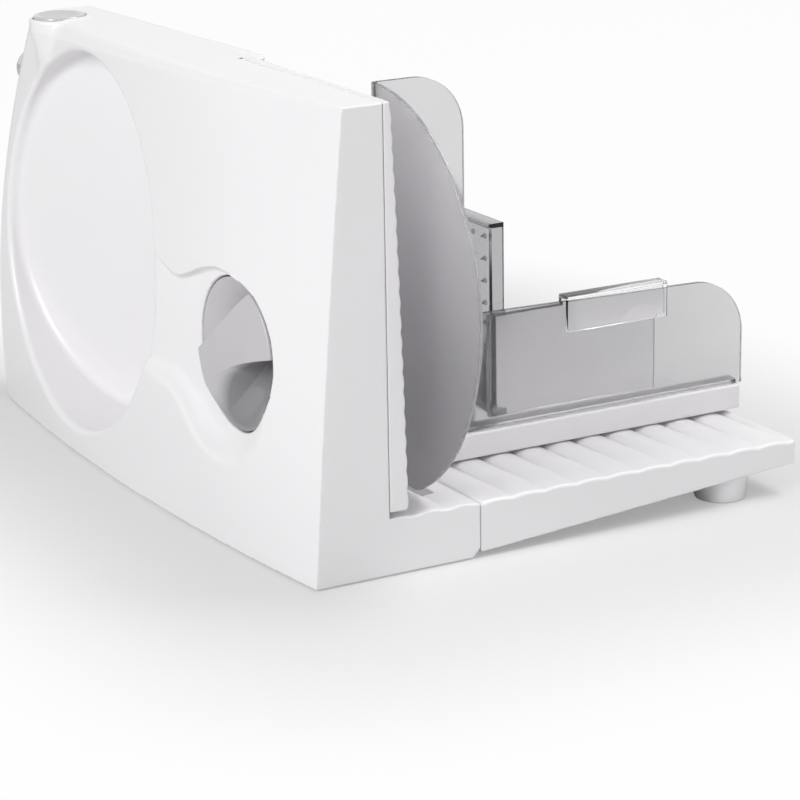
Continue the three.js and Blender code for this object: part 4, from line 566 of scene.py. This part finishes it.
rubber = Finish("rubber", IOR=1.45)
rubber.tone(rubber.noise(180.0, 3.0), (0.055, 0.055, 0.058, 1), (0.075, 0.075, 0.078, 1))
rubber.feed("Roughness", rubber.noise(400.0) * 0.15 + 0.68)
rubber.relief(rubber.noise(2500.0, 2.0), 0.00005, 0.4)
foot_profile = [(1.4, 0), (1.4, 8), (0.5, 7.9), (0.1, 7.5), (0, 7.0), (0, 5.2), (0.3, 4.8), (0.3, 0)]
for i, (x, y) in enumerate([(15, 22), (64, 22), (15, 304), (64, 304)], 1):
    foot = turned(f"rubber_foot_piece_{i}", foot_profile, "z", (x, y))
    foot.data.materials.append(rubber.material)
    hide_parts(f"rubber_foot_{i}")
    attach(foot, "housing")

grommet_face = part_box("cord_grommet")[1].y * MM - near_foot
grommet_profile = [(-10, 3.3), (-10, 5.6), (-9.6, 6), (-2, 6), (-2, 8.2), (-1.7, 8.5), (-0.5, 8.5),
                   (-0.1, 8.1), (0, 7.4), (0, 4.6), (-0.4, 3.7), (-1.2, 3.3), (-10, 3.3)]
grommet = turned("cord_grommet_piece", [(grommet_face + p, r) for p, r in grommet_profile], "y", (25, 15))
grommet.data.materials.append(rubber.material)
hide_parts("cord_grommet")
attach(grommet, "housing")


# Motor and gear train: a small permanent-magnet motor whose brass worm turns a nylon wheel and pinion.
# They sit inside the housing, so the frame's nodes stay, each in its own finish.

plated_iron = Finish("plated_iron", Metallic=1.0)
plated_iron.tone(plated_iron.noise(220.0, 4.0), (0.30, 0.31, 0.32, 1), (0.42, 0.43, 0.44, 1))
plated_iron.feed("Roughness", plated_iron.noise(350.0) * 0.25 + 0.32)
paint(plated_iron, "motor_can")

ferrite = Finish("ferrite", IOR=1.6)
ferrite.tone(ferrite.noise(500.0, 4.0), (0.045, 0.045, 0.05, 1), (0.08, 0.08, 0.085, 1))
ferrite.feed("Roughness", ferrite.noise(900.0) * 0.2 + 0.6)
paint(ferrite, "motor_magnet_1", "motor_magnet_2")

winding = Finish("copper_winding", Metallic=1.0)
strands = winding.noise(1400.0, 1.0, (0.15, 0.15, 1.0))
winding.tone(strands, (0.42, 0.2, 0.1, 1), (0.66, 0.36, 0.2, 1))
winding.feed("Roughness", strands * 0.2 + 0.3)
winding.relief(strands, 0.0002, 0.6)
paint(winding, "armature")

brass = Finish("turned_brass", Metallic=1.0)
brass.tone(brass.noise(300.0, 3.0), (0.62, 0.46, 0.2, 1), (0.74, 0.57, 0.28, 1))
brass.feed("Roughness", brass.noise(1200.0, 1.0, (0.2, 0.2, 1.0)) * 0.15 + 0.25)
paint(brass, "worm", "worm_bearing")

nylon = Finish("nylon", IOR=1.53, Subsurface_Weight=0.08, Subsurface_Scale=0.002)
nylon.tone(nylon.noise(120.0, 3.0), (0.74, 0.71, 0.64, 1), (0.8, 0.78, 0.71, 1))
nylon.feed("Roughness", nylon.noise(500.0) * 0.12 + 0.42)
paint(nylon, "blade_gear", "idler_gear", "thickness_drum")

bright_steel = Finish("bright_steel", Metallic=1.0)
drawn = bright_steel.noise(900.0, 2.0, (0.05, 1.0, 1.0))
bright_steel.tone(drawn, (0.6, 0.61, 0.62, 1), (0.72, 0.73, 0.74, 1))
bright_steel.feed("Roughness", drawn * 0.14 + 0.16)
paint(bright_steel, "blade_axle", "idler_axle", "table_hinge_pin_1", "table_hinge_pin_2", "guide_rod_upper",
      "guide_rod_lower")

dark_plastic = Finish("dark_plastic", IOR=1.5)
dark_plastic.tone(dark_plastic.noise(150.0, 3.0), (0.03, 0.03, 0.033, 1), (0.045, 0.045, 0.048, 1))
dark_plastic.feed("Roughness", dark_plastic.noise(700.0) * 0.15 + 0.4)
dark_plastic.relief(dark_plastic.noise(2200.0, 1.0), 0.00004, 0.4)
paint(dark_plastic, "motor_end_cap", "microswitch")


# Blade: a stamped disc of stainless steel with a scalloped edge, ground to a bevel on its back.
# It is clamped to its gear by a dark lock that turns by a coin.

BLADE_RADIUS = 85
SCALLOPS, SCALLOP_POINTS, SCALLOP_DEPTH = 44, 10, 1.6
around = np.linspace(0, 2 * np.pi, SCALLOPS * SCALLOP_POINTS, endpoint=False)
scallop = np.abs(np.sin(around * SCALLOPS / 2)) * SCALLOP_DEPTH
edge_radius = BLADE_RADIUS - scallop
blade_rings = [(12.2, 56.2), (40, 56.2), (43, 56.5), (60, 56.5), (63, 56.2), (78, 56.2), (None, 57.7), (None, 58.0),
               (77, 58.0), (64, 58.0), (62, 57.7), (44, 57.7), (42, 58.0), (12.2, 58.0)]
points, faces = [], []
for radius, x in blade_rings:
    reach = edge_radius if radius is None else np.full(len(around), float(radius))
    points.append(np.stack([np.full(len(around), x), BLADE_ALONG + reach * np.cos(around),
                            BLADE_HEIGHT + reach * np.sin(around)], 1))
count = len(around)
for ring in range(len(blade_rings)):
    after = (ring + 1) % len(blade_rings)
    for i in range(count):
        j = (i + 1) % count
        faces.append((ring * count + i, ring * count + j, after * count + j, after * count + i))
blade = closed_mesh("blade_disc", np.concatenate(points), faces)
smooth(blade.data, 8)

blade_steel = Finish("blade_steel", Metallic=1.0)
middle = placed([57.0, BLADE_ALONG, BLADE_HEIGHT])
centred = blade_steel.here.node("ShaderNodeMapping", {}, {"Vector": blade_steel.here, "Location": tuple(-middle)})
reach = blade_steel.here.node("ShaderNodeVectorMath", {"operation": "LENGTH"}, {0: centred}, out="Value")
turning = blade_steel.here.node("ShaderNodeTexNoise", {"noise_dimensions": "1D"},
                                {"W": reach * 2600.0, "Scale": 1.0, "Detail": 3.0})
blade_steel.tone(turning, (0.58, 0.59, 0.6, 1), (0.7, 0.71, 0.72, 1))
blade_steel.feed("Roughness", turning * 0.18 + 0.2)
blade_steel.relief(turning, 0.00003, 0.35)
blade.data.materials.append(blade_steel.material)
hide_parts("blade")
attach(blade, "blade_unit")
paint(dark_plastic, "blade_lock")


# Thickness knob: a light grey gloss moulding with a broad, nearly flat grip bar between two finger hollows.
# It is pressed on the nylon drum whose cam groove moves the stop plate.

KNOB_RADIUS = 33.1
BAR_ANGLE = math.radians(36)
BAR_TOP = 15.5


def knob_face(along, across):
    """How deep the face lies: a nearly flat bar, a hollow above it and a deeper one below it."""
    bar = -1.8 + 2.3 * np.clip((-along - 8) / 25, 0, 1.2) ** 2
    rim = np.sqrt(np.maximum(KNOB_RADIUS ** 2 - along ** 2, 25))
    crest = 0.6 - 16.5 * np.clip((32 - along) / 64, 0, 1) ** 1.6
    deep = 1 + 0.36 * np.clip(26 - along, 0, 33)
    foot = np.minimum(-17.2 + 0.73 * deep, crest - 1.5)
    flank = bar + (deep - bar) * np.clip((crest - across) / (crest - foot), 0, 1)
    floor_share = np.clip((foot - across) / np.maximum(foot + rim, 2), 0, 1)
    lower = flank + (1.0 - deep) * floor_share
    fade = np.clip((14 - along) / 26, 0, 1)
    rise = np.clip((across - BAR_TOP) / np.maximum(rim - BAR_TOP, 2), 0, 1)
    upper = bar + (1.0 + 4.0 * fade * (1 - rise) - bar) * np.clip((across - BAR_TOP) / 0.8, 0, 1)
    return np.where(across > 3, upper, lower)


def knob_field(x, y, z):
    a, b = y - KNOB_ALONG, z - KNOB_HEIGHT
    along = a * math.cos(BAR_ANGLE) - b * math.sin(BAR_ANGLE)
    across = a * math.sin(BAR_ANGLE) + b * math.cos(BAR_ANGLE)
    face = (knob_face(along, across) - x) * 0.8
    disc = rounded(rounded(face, np.hypot(a, b) - KNOB_RADIUS, 0.5), x - 16.5, 0.4)
    peg = np.maximum(np.maximum(np.abs(a), np.abs(b)) - 3, slab(x, 14, 25.5))
    return np.minimum(disc, peg)


knob = moulded("thickness_knob_piece", knob_field, lines((-3.5, 17.5, 0.55), (17.5, 27, 1.5)),
               lines((35, 103, 0.6)), lines((51, 119, 0.6)))
knob_plastic = Finish("knob_plastic", IOR=1.5, Coat_Weight=0.3, Coat_Roughness=0.06)
# Painted shade: the tone darkens with depth, sooner and faster in the hollow below the bar
sunk = knob_plastic.along("X")
height = knob_plastic.along("Z")
low = knob_plastic.here.node("ShaderNodeClamp", {}, {0: (height * -1.0 + 0.087) * 100.0})
hollow_painted_shade = (sunk - (0.5 + SHIFT[0]) / MM + low * 0.0015) * (low * 260.0 + 110.0)
hollow_painted_shade = knob_plastic.here.node("ShaderNodeClamp", {}, {0: hollow_painted_shade}) * 0.9
knob_plastic.tone(hollow_painted_shade + knob_plastic.noise(14.0, 2.0) * 0.1, (0.56, 0.543, 0.566, 1), (0.2, 0.197, 0.205, 1))
knob_plastic.feed("Roughness", knob_plastic.noise(90.0) * 0.06 + 0.2)
knob_plastic.relief(knob_plastic.noise(1700.0, 1.0), 0.00001, 0.2)
knob.data.materials.append(knob_plastic.material)
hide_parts("thickness_knob")
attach(knob, "thickness_control")


# Stop plate: a white wedge with level ribs that the food slides along, carried by two steel rods.
# A sleeve on its back takes the cam drum.

STOP_BACK, STOP_LOW, STOP_TOP = 35.65, 27.8, 200.2
STOP_RIB_PITCH = 8.5
SLEEVE_RADIUS, SLEEVE_BORE = 11.35, 9.3


def stop_front(z):
    share = (z - STOP_LOW) / (STOP_TOP - STOP_LOW)
    rib = np.abs(np.sin(np.pi * (z - STOP_LOW) / STOP_RIB_PITCH))
    return STOP_BACK + 9 - 5.6 * share + 2.4 * share * (1 - share) - 0.6 * (1 - rib)


def stop_field(x, y, z):
    face = x - stop_front(z)
    outline = rounded(rounded(y - STOP_LENGTH, z - STOP_TOP, STOP_CORNER), -y, 0.6)
    outline = rounded(outline, STOP_LOW - z, 1.0)
    plate = rounded(rounded(outline, face, 0.8), STOP_BACK - x, 0.15)
    hub = np.hypot(y - KNOB_ALONG, z - KNOB_HEIGHT)
    sleeve = np.maximum(hub - SLEEVE_RADIUS, slab(x, 20, 40))
    return np.maximum(np.minimum(plate, sleeve), -np.maximum(hub - SLEEVE_BORE, x - 38.5))


stop_plate = moulded("stop_plate_piece", stop_field, lines((18.5, 35, 1.8), (35, 46.5, 0.7)),
                     lines((-1, 3, 0.6), (3, 114, 3.0), (114, 140.5, 1.3)), lines((26.5, 202, 0.9)))
stop_plate.data.materials.append(white_plastic.material)
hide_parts("stop_plate")
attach(stop_plate, "stop")


# Folding table: a ribbed white tray, open below, that hinges on the base strip and stands on two feet.
# Its ribs run along it, with a crease between each two.

TABLE_LEFT, TABLE_RIGHT, TABLE_LENGTH = 79.25, 244.0, 330.0
UNDER_LOW, UNDER_RISE = 2.2, 11.8


def table_field(x, y, z):
    top = z - ribbed_level(x, y, TABLE_LEFT, TABLE_RIGHT)
    under = UNDER_LOW + UNDER_RISE * (x - SEAM_AT) / (TABLE_RIGHT - SEAM_AT) - z
    outer = rounded(x - TABLE_RIGHT, slab(y, 0, TABLE_LENGTH), 3.0)
    side = rounded(rounded(outer, TABLE_LEFT - x, 0.4), under, 0.6)
    tray = rounded(side, top, 1.5)
    hollow = np.maximum(np.maximum(slab(x, 82, 241.5), slab(y, 2.5, 327.5)), z - 20.4)
    tray = less(tray, hollow, 0.3)
    knuckle = np.minimum(np.hypot(x - 77, z - 20.5) - 4, np.maximum(slab(x, 76, 81), slab(z, 17.2, 22.4)))
    return np.minimum(tray, np.maximum(knuckle, hinge_place(y, 0)))


table = moulded("table_piece", table_field, lines((72, 80, 0.9), (80, 241, 1.0), (241, 245.5, 0.7)),
                lines((-1, 4, 0.6), (4, 326, 3.2), (326, 331.2, 0.6)), lines((1, 13, 1.3), (13, 27, 0.8)))
table.data.materials.append(white_plastic.material)
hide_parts("table")
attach(table, "housing")

table_foot_profile = [(0, 0), (0, 10.6), (0.3, 11.3), (1.0, 11.7), (21.5, 13.0), (21.5, 0)]
for name, y in (("near", 14), ("far", 316)):
    table_foot = turned(f"table_foot_{name}_piece", table_foot_profile, "z", (212, y))
    table_foot.data.materials.append(white_plastic.material)
    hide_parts(f"table_foot_{name}")
    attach(table_foot, "housing")


# Carriage: a white beam that runs in the base strip's groove and carries a clear smoky shield, with the
# D-shaped finger guard on its blade side as a piece of its own. Both have rounded edges.

BEAM_LEFT, BEAM_NEAR, BEAM_LOW = 62.8, 50, 25.8


def beam_field(x, y, z):
    bar = rounded(rounded(slab(x, BEAM_LEFT, 248.5), slab(y, BEAM_NEAR, 65), 1.5), slab(z, BEAM_LOW, 37.4), 1.2)
    runner = rounded(np.maximum(slab(x, BEAM_LEFT, 72.8), slab(y, BEAM_NEAR, 120)), slab(z, BEAM_LOW, 30.8), 0.6)
    keel = np.maximum(np.maximum(slab(x, BEAM_LEFT, 67.8), slab(y, 52, 118)), slab(z, 17.5, 27))
    return np.minimum(joined(bar, runner, 1.0), keel)


beam = moulded("carriage_beam_piece", beam_field, lines((61.5, 74, 0.8), (74, 245, 3.0), (245, 249.8, 0.6)),
               lines((49, 52.5, 0.5), (52.5, 62.5, 1.2), (62.5, 66.5, 0.6), (66.5, 117, 3.0), (117, 121.2, 0.8)),
               lines((16.5, 25, 1.2), (25, 39, 0.6)))
beam.data.materials.append(white_plastic.material)
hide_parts("carriage_beam")
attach(beam, "carriage")


def arc(cu, cv, radius, start, end, count=24):
    angle = np.radians(np.linspace(start, end, count))
    return [(cu + radius * math.cos(a), cv + radius * math.sin(a)) for a in angle]


def sheet_solid(outline, plane, low, high):
    """Closed plate from an outline in the plane given by two axis letters."""
    u, v = "xyz".index(plane[0]), "xyz".index(plane[1])
    w = 3 - u - v
    points = np.zeros((2 * len(outline), 3))
    flat = np.array(outline)
    for half, level_at in enumerate((low, high)):
        rows = slice(half * len(flat), (half + 1) * len(flat))
        points[rows, u], points[rows, v], points[rows, w] = flat[:, 0], flat[:, 1], level_at
    count = len(flat)
    faces = [list(range(count)), list(range(count, 2 * count))]
    faces += [[i, (i + 1) % count, count + (i + 1) % count, count + i] for i in range(count)]
    return closed_mesh("sheet", points, faces)


def clear_moulding(name, plates, edge, *finishes):
    """Joins plates into one solid, rounds its edges and gives it its finishes."""
    whole = plates[0]
    whole.name = name
    for plate in plates[1:]:
        union = whole.modifiers.new("join", "BOOLEAN")
        union.operation = "UNION"
        union.solver = "EXACT"
        union.object = plate
    bevel = whole.modifiers.new("edge", "BEVEL")
    bevel.width = edge / MM
    bevel.segments = 3
    bevel.limit_method = "ANGLE"
    bevel.angle_limit = math.radians(35)
    bevel.use_clamp_overlap = True
    graph = bpy.context.evaluated_depsgraph_get()
    mesh = bpy.data.meshes.new_from_object(whole.evaluated_get(graph))
    mesh.name = name
    whole.modifiers.clear()
    whole.data = mesh
    smooth(mesh, 20)
    mesh.materials.clear()
    for finish in finishes:
        mesh.materials.append(finish.material)
    for plate in plates[1:]:
        bpy.data.objects.remove(plate)
    return whole


smoky_plastic = Finish("smoky_plastic", IOR=1.49, Transmission_Weight=1.0)
smoky_plastic.tone(smoky_plastic.noise(12.0, 2.0), (0.705, 0.697, 0.71, 1), (0.74, 0.732, 0.745, 1))
smoky_plastic.feed("Roughness", smoky_plastic.noise(60.0) * 0.04 + 0.18)

GUARD_LEFT, GUARD_RIGHT = 60.0, 61.6
WALL_NEAR, WALL_FAR = 52.0, 54.5
SHIELD_LOW, SHIELD_RIGHT = 37.7, 250
GUARD_HEIGHT, GUARD_LOW, GUARD_TOP, GUARD_REACH, GUARD_FALL = 112, 27.3, 197.5, 87, 91.8
wall_outline = [(GUARD_RIGHT, SHIELD_LOW), (SHIELD_RIGHT, SHIELD_LOW)]
wall_outline += arc(224, 62.2, 26, 0, 90)
wall_outline += arc(111, 98.5, 8, 270, 180, 12)
wall_outline += arc(79, 173.5, 24, 0, 90)
wall_outline += [(GUARD_RIGHT, GUARD_TOP)]
shield_wall = sheet_solid(wall_outline, "xz", WALL_NEAR, WALL_FAR)
low_angle = math.asin((GUARD_LOW - GUARD_HEIGHT) / GUARD_FALL)
guard_outline = [(WALL_FAR, GUARD_LOW)]
for turn in np.linspace(low_angle, math.pi / 2, 96):
    rise = (GUARD_FALL if turn < 0 else GUARD_TOP - GUARD_HEIGHT) * math.sin(turn)
    guard_outline.append((WALL_FAR - GUARD_REACH * math.cos(turn), GUARD_HEIGHT + rise))
guard_sheet = sheet_solid(guard_outline, "yz", GUARD_LEFT, GUARD_RIGHT)
FLANGE_LEFT, FLANGE_RIGHT, FLANGE_FAR, FLANGE_TOP = 64.8, 248, 61, 39.0
flange = sheet_solid([(FLANGE_LEFT, WALL_NEAR), (FLANGE_RIGHT, WALL_NEAR), (FLANGE_RIGHT, FLANGE_FAR),
                      (FLANGE_LEFT, FLANGE_FAR)], "xy", SHIELD_LOW, FLANGE_TOP)
shield = clear_moulding("carriage_shield_piece", [shield_wall, flange], 1.0, smoky_plastic)
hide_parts("carriage_shield")
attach(shield, "carriage")

# The guard's faces are matt, with painted shade that makes them darker downwards and lighter upwards, and its edge is
# polished
frosted_plastic = Finish("frosted_plastic", IOR=1.49, Transmission_Weight=0.95)
height = frosted_plastic.along("Z")
frosted_plastic.tone((height - 0.03) * 6.0, (0.49, 0.483, 0.498, 1), (0.87, 0.86, 0.88, 1))
frosted_plastic.feed("Roughness", frosted_plastic.noise(120.0) * 0.06 + 0.6)
guard = clear_moulding("finger_guard_piece", [guard_sheet], 0.45, frosted_plastic, smoky_plastic)
for face in guard.data.polygons:
    face.material_index = 0 if abs(face.normal.x) > 0.98 else 1
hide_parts("carriage_shield")
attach(guard, "carriage")


# Pusher: a spiked plate that presses the food on, and a panel and saddle on the shield's wall that guide it.
# The plate is dark smoke, the panel lighter and the saddle nearly clear; the spikes repeat on a square grid.

PANEL_NEAR, PANEL_FAR = 54.9, 57.3
PLATE_NEAR, PLATE_FAR, PLATE_LOW, PLATE_TOP = 57.6, 149.9, 42.0, 128.2
PLATE_LEFT, PLATE_THICK, FLANGE_REACH = 118.5, 2.4, 7.5
TOE_NEAR, TOE_LOW, NEAR_FLANGE_LOW = 76.4, 30, 86
SADDLE_LEFT, SADDLE_RIGHT, SADDLE_NEAR, SADDLE_TOP = 154, 207, 49.6, 92.2


def box_plate(x0, x1, y0, y1, z0, z1):
    return sheet_solid([(x0, y0), (x1, y0), (x1, y1), (x0, y1)], "xy", z0, z1)


pusher_smoke = Finish("pusher_smoke", IOR=1.49, Transmission_Weight=1.0)
pusher_smoke.tone(pusher_smoke.noise(12.0, 2.0), (0.44, 0.432, 0.45, 1), (0.48, 0.472, 0.49, 1))
pusher_smoke.feed("Roughness", pusher_smoke.noise(60.0) * 0.04 + 0.05)
flange_edge = PLATE_LEFT + FLANGE_REACH
plate = clear_moulding("pusher_plate_piece", [
    box_plate(PLATE_LEFT, PLATE_LEFT + PLATE_THICK, PLATE_NEAR, PLATE_FAR, PLATE_LOW, PLATE_TOP),
    box_plate(PLATE_LEFT, PLATE_LEFT + PLATE_THICK, TOE_NEAR, PLATE_FAR, TOE_LOW, PLATE_LOW + 4),
    box_plate(PLATE_LEFT, flange_edge, PLATE_NEAR, PLATE_NEAR + PLATE_THICK, NEAR_FLANGE_LOW, PLATE_TOP),
    box_plate(PLATE_LEFT, flange_edge, PLATE_FAR - PLATE_THICK, PLATE_FAR, PLATE_LOW, PLATE_TOP),
    box_plate(PLATE_LEFT, flange_edge, PLATE_NEAR, PLATE_FAR, PLATE_LOW, PLATE_LOW + PLATE_THICK),
    box_plate(PLATE_LEFT, flange_edge, PLATE_NEAR, PLATE_FAR, PLATE_TOP - PLATE_THICK, PLATE_TOP),
], 0.6, pusher_smoke)
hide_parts("pusher_plate")
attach(plate, "pusher")

spikes_tree = bpy.data.node_groups.new("spike_grid", "GeometryNodeTree")
spikes_tree.interface.new_socket("Geometry", in_out="OUTPUT", socket_type="NodeSocketGeometry")
spike_inputs = {"Rows": 8, "Columns": 8, "Pitch": 0.010, "Height": 0.0026, "Radius": 0.0013}
spike_sockets = {}
for label, value in spike_inputs.items():
    kind = "NodeSocketInt" if isinstance(value, int) else "NodeSocketFloat"
    spike_sockets[label] = spikes_tree.interface.new_socket(label, in_out="INPUT", socket_type=kind).identifier
spike_sockets["Finish"] = spikes_tree.interface.new_socket(
    "Finish", in_out="INPUT", socket_type="NodeSocketMaterial").identifier
made = {name: spikes_tree.nodes.new(kind) for name, kind in {
    "given": "NodeGroupInput", "out": "NodeGroupOutput", "grid": "GeometryNodeMeshGrid",
    "width": "ShaderNodeMath", "depth": "ShaderNodeMath", "columns": "ShaderNodeMath", "rows": "ShaderNodeMath",
    "cone": "GeometryNodeMeshCone", "set": "GeometryNodeInstanceOnPoints", "real": "GeometryNodeRealizeInstances",
    "finish": "GeometryNodeSetMaterial"}.items()}
for name in ("columns", "rows"):
    made[name].operation = "SUBTRACT"
    made[name].inputs[1].default_value = 1
for name in ("width", "depth"):
    made[name].operation = "MULTIPLY"
made["cone"].inputs["Vertices"].default_value = 12
made["cone"].inputs["Radius Top"].default_value = 0.0001
for a, out, b, into in (
        ("given", "Columns", "columns", 0), ("given", "Rows", "rows", 0), ("columns", 0, "width", 0),
        ("given", "Pitch", "width", 1), ("rows", 0, "depth", 0), ("given", "Pitch", "depth", 1),
        ("width", 0, "grid", "Size X"), ("depth", 0, "grid", "Size Y"), ("given", "Columns", "grid", "Vertices X"),
        ("given", "Rows", "grid", "Vertices Y"), ("given", "Height", "cone", "Depth"),
        ("given", "Radius", "cone", "Radius Bottom"), ("grid", 0, "set", "Points"), ("cone", 0, "set", "Instance"),
        ("set", 0, "real", 0), ("real", 0, "finish", 0), ("given", "Finish", "finish", "Material"),
        ("finish", 0, "out", 0)):
    spikes_tree.links.new(made[a].outputs[out], made[b].inputs[into])
spikes = bpy.data.objects.new("pusher_spikes", bpy.data.meshes.new("pusher_spikes"))
bpy.context.scene.collection.objects.link(spikes)
growth = spikes.modifiers.new("spikes", "NODES")
growth.node_group = spikes_tree
for label, value in spike_inputs.items():
    growth[spike_sockets[label]] = value
growth[spike_sockets["Finish"]] = pusher_smoke.material
grown = bpy.data.meshes.new_from_object(spikes.evaluated_get(bpy.context.evaluated_depsgraph_get()))
spikes.modifiers.clear()
spikes.data = grown
# The grid lies flat with its points up, so it is stood against the plate's food side
grid_middle = Vector(placed([PLATE_LEFT, (PLATE_NEAR + PLATE_FAR) / 2 - 8, 87.5]))
spikes.data.transform(Matrix.Translation(grid_middle) @ Matrix.Rotation(math.radians(-90), 4, "Y"))
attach(spikes, "pusher")

panel_smoke = Finish("panel_smoke", IOR=1.49, Transmission_Weight=1.0)
panel_smoke.tone(panel_smoke.noise(12.0, 2.0), (0.885, 0.882, 0.89, 1), (0.91, 0.907, 0.915, 1))
panel_smoke.feed("Roughness", panel_smoke.noise(60.0) * 0.04 + 0.18)
saddle_clear = Finish("saddle_clear", IOR=1.49, Transmission_Weight=1.0)
saddle_clear.tone(saddle_clear.noise(12.0, 2.0), (0.97, 0.962, 0.97, 1), (0.985, 0.977, 0.985, 1))
saddle_clear.feed("Roughness", saddle_clear.noise(60.0) * 0.03 + 0.03)
grip = clear_moulding("pusher_grip_piece", [
    box_plate(116, 203, PANEL_NEAR, PANEL_FAR, PLATE_LOW, 87.5),
    box_plate(SADDLE_LEFT, SADDLE_RIGHT, SADDLE_NEAR, PANEL_FAR, 90.7, SADDLE_TOP),
    box_plate(SADDLE_LEFT, SADDLE_RIGHT, SADDLE_NEAR, 51.4, 76.0, SADDLE_TOP),
    box_plate(SADDLE_LEFT, SADDLE_RIGHT, PANEL_NEAR, PANEL_FAR, 76.9, SADDLE_TOP),
], 0.5, panel_smoke, saddle_clear)
saddle_edge = placed([0, 54.7, 89.3])
for face in grip.data.polygons:
    face.material_index = int(face.center.y < saddle_edge[1] or face.center.z > saddle_edge[2])
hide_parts("pusher_grip")
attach(grip, "pusher")


# Buttons: a dished grey push button on the corner boss and a round safety button in the far end.
# Both are glossy turned mouldings that their springs push back out.

BUTTON_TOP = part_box("on_button")[1].z * MM
BUTTON_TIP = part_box("on_button")[0].z * MM
button_profile = [(BUTTON_TIP, 0), (BUTTON_TIP, 2.6), (BUTTON_TIP + 0.4, 3), (BUTTON_TOP - 2.8, 3),
                  (BUTTON_TOP - 2.8, 11.9), (BUTTON_TOP - 2.5, 12.2), (BUTTON_TOP - 1.3, 12.2),
                  (BUTTON_TOP - 0.6, 12.05), (BUTTON_TOP - 0.15, 11.6), (BUTTON_TOP, 10.9), (BUTTON_TOP - 0.15, 10.2),
                  (BUTTON_TOP - 0.8, 9.3), (BUTTON_TOP - 1.7, 7.6), (BUTTON_TOP - 2.2, 5.0), (BUTTON_TOP - 2.4, 2.5),
                  (BUTTON_TOP - 2.45, 0)]
button_gloss = Finish("button_gloss", IOR=1.5, Coat_Weight=0.8, Coat_Roughness=0.05)
button_gloss.tone(button_gloss.noise(20.0, 2.0), (0.5, 0.505, 0.51, 1), (0.55, 0.555, 0.56, 1))
button_gloss.feed("Roughness", button_gloss.noise(60.0) * 0.04 + 0.14)
button = turned("on_button_piece", button_profile, "z", (BUTTON_ACROSS, BUTTON_ALONG), 96)
button.data.materials.append(button_gloss.material)
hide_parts("on_button")
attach(button, "on_push")

SAFETY_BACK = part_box("safety_button")[0].y * MM - near_foot
SAFETY_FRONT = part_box("safety_button")[1].y * MM - near_foot
safety_profile = [(SAFETY_BACK, 0), (SAFETY_BACK, 10.2), (SAFETY_BACK + 2.5, 10.2), (SAFETY_BACK + 2.5, 9.3),
                  (SAFETY_FRONT - 0.9, 9.3), (SAFETY_FRONT - 0.25, 9.1), (SAFETY_FRONT, 8.6), (SAFETY_FRONT - 0.2, 7.6),
                  (SAFETY_FRONT - 0.8, 6.9), (SAFETY_FRONT - 1.2, 4), (SAFETY_FRONT - 1.3, 0)]
safety = turned("safety_button_piece", safety_profile, "y", (SAFETY_ACROSS, SAFETY_HEIGHT), 96)
safety.data.materials.append(button_gloss.material)
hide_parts("safety_button")
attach(safety, "safety_push")


# Button springs: wound steel wire under each button, standing on the floor of its well in the housing.

SPRING_WIRE, WIRE_SIDES, TURN_STEPS = 0.45, 8, 24


def wound_spring(node, axis, middle, turns):
    low, high = (np.array(corner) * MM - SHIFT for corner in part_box(node))
    w = "xyz".index(axis)
    u, v = (i for i in range(3) if i != w)
    length = high[w] - low[w]
    turn = np.linspace(0, 2 * np.pi * turns, TURN_STEPS * turns + 1)[:, None]
    around = np.linspace(0, 2 * np.pi, WIRE_SIDES, endpoint=False)[None, :]
    reach = (high[u] - low[u]) / 2 - SPRING_WIRE + SPRING_WIRE * np.cos(around)
    points = np.zeros((len(turn), WIRE_SIDES, 3))
    points[..., u] = middle[0] + reach * np.cos(turn)
    points[..., v] = middle[1] + reach * np.sin(turn)
    climb = (length - 2 * SPRING_WIRE) * turn / turn[-1]
    points[..., w] = low[w] + SPRING_WIRE + climb + SPRING_WIRE * np.sin(around)
    last = WIRE_SIDES * (len(turn) - 1)
    faces = []
    for ring in range(0, last, WIRE_SIDES):
        for j in range(WIRE_SIDES):
            k = (j + 1) % WIRE_SIDES
            faces.append([ring + j, ring + k, ring + WIRE_SIDES + k, ring + WIRE_SIDES + j])
    faces += [list(range(WIRE_SIDES)), list(range(last, last + WIRE_SIDES))]
    spring = closed_mesh(f"{node}_piece", points.reshape(-1, 3), faces)
    smooth(spring.data)
    spring.data.materials.append(bright_steel.material)
    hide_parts(node)
    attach(spring, "housing")
    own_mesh(spring)


wound_spring("on_button_spring", "z", (BUTTON_ACROSS, BUTTON_ALONG), 5)
wound_spring("safety_spring", "y", (SAFETY_ACROSS, SAFETY_HEIGHT), 5)
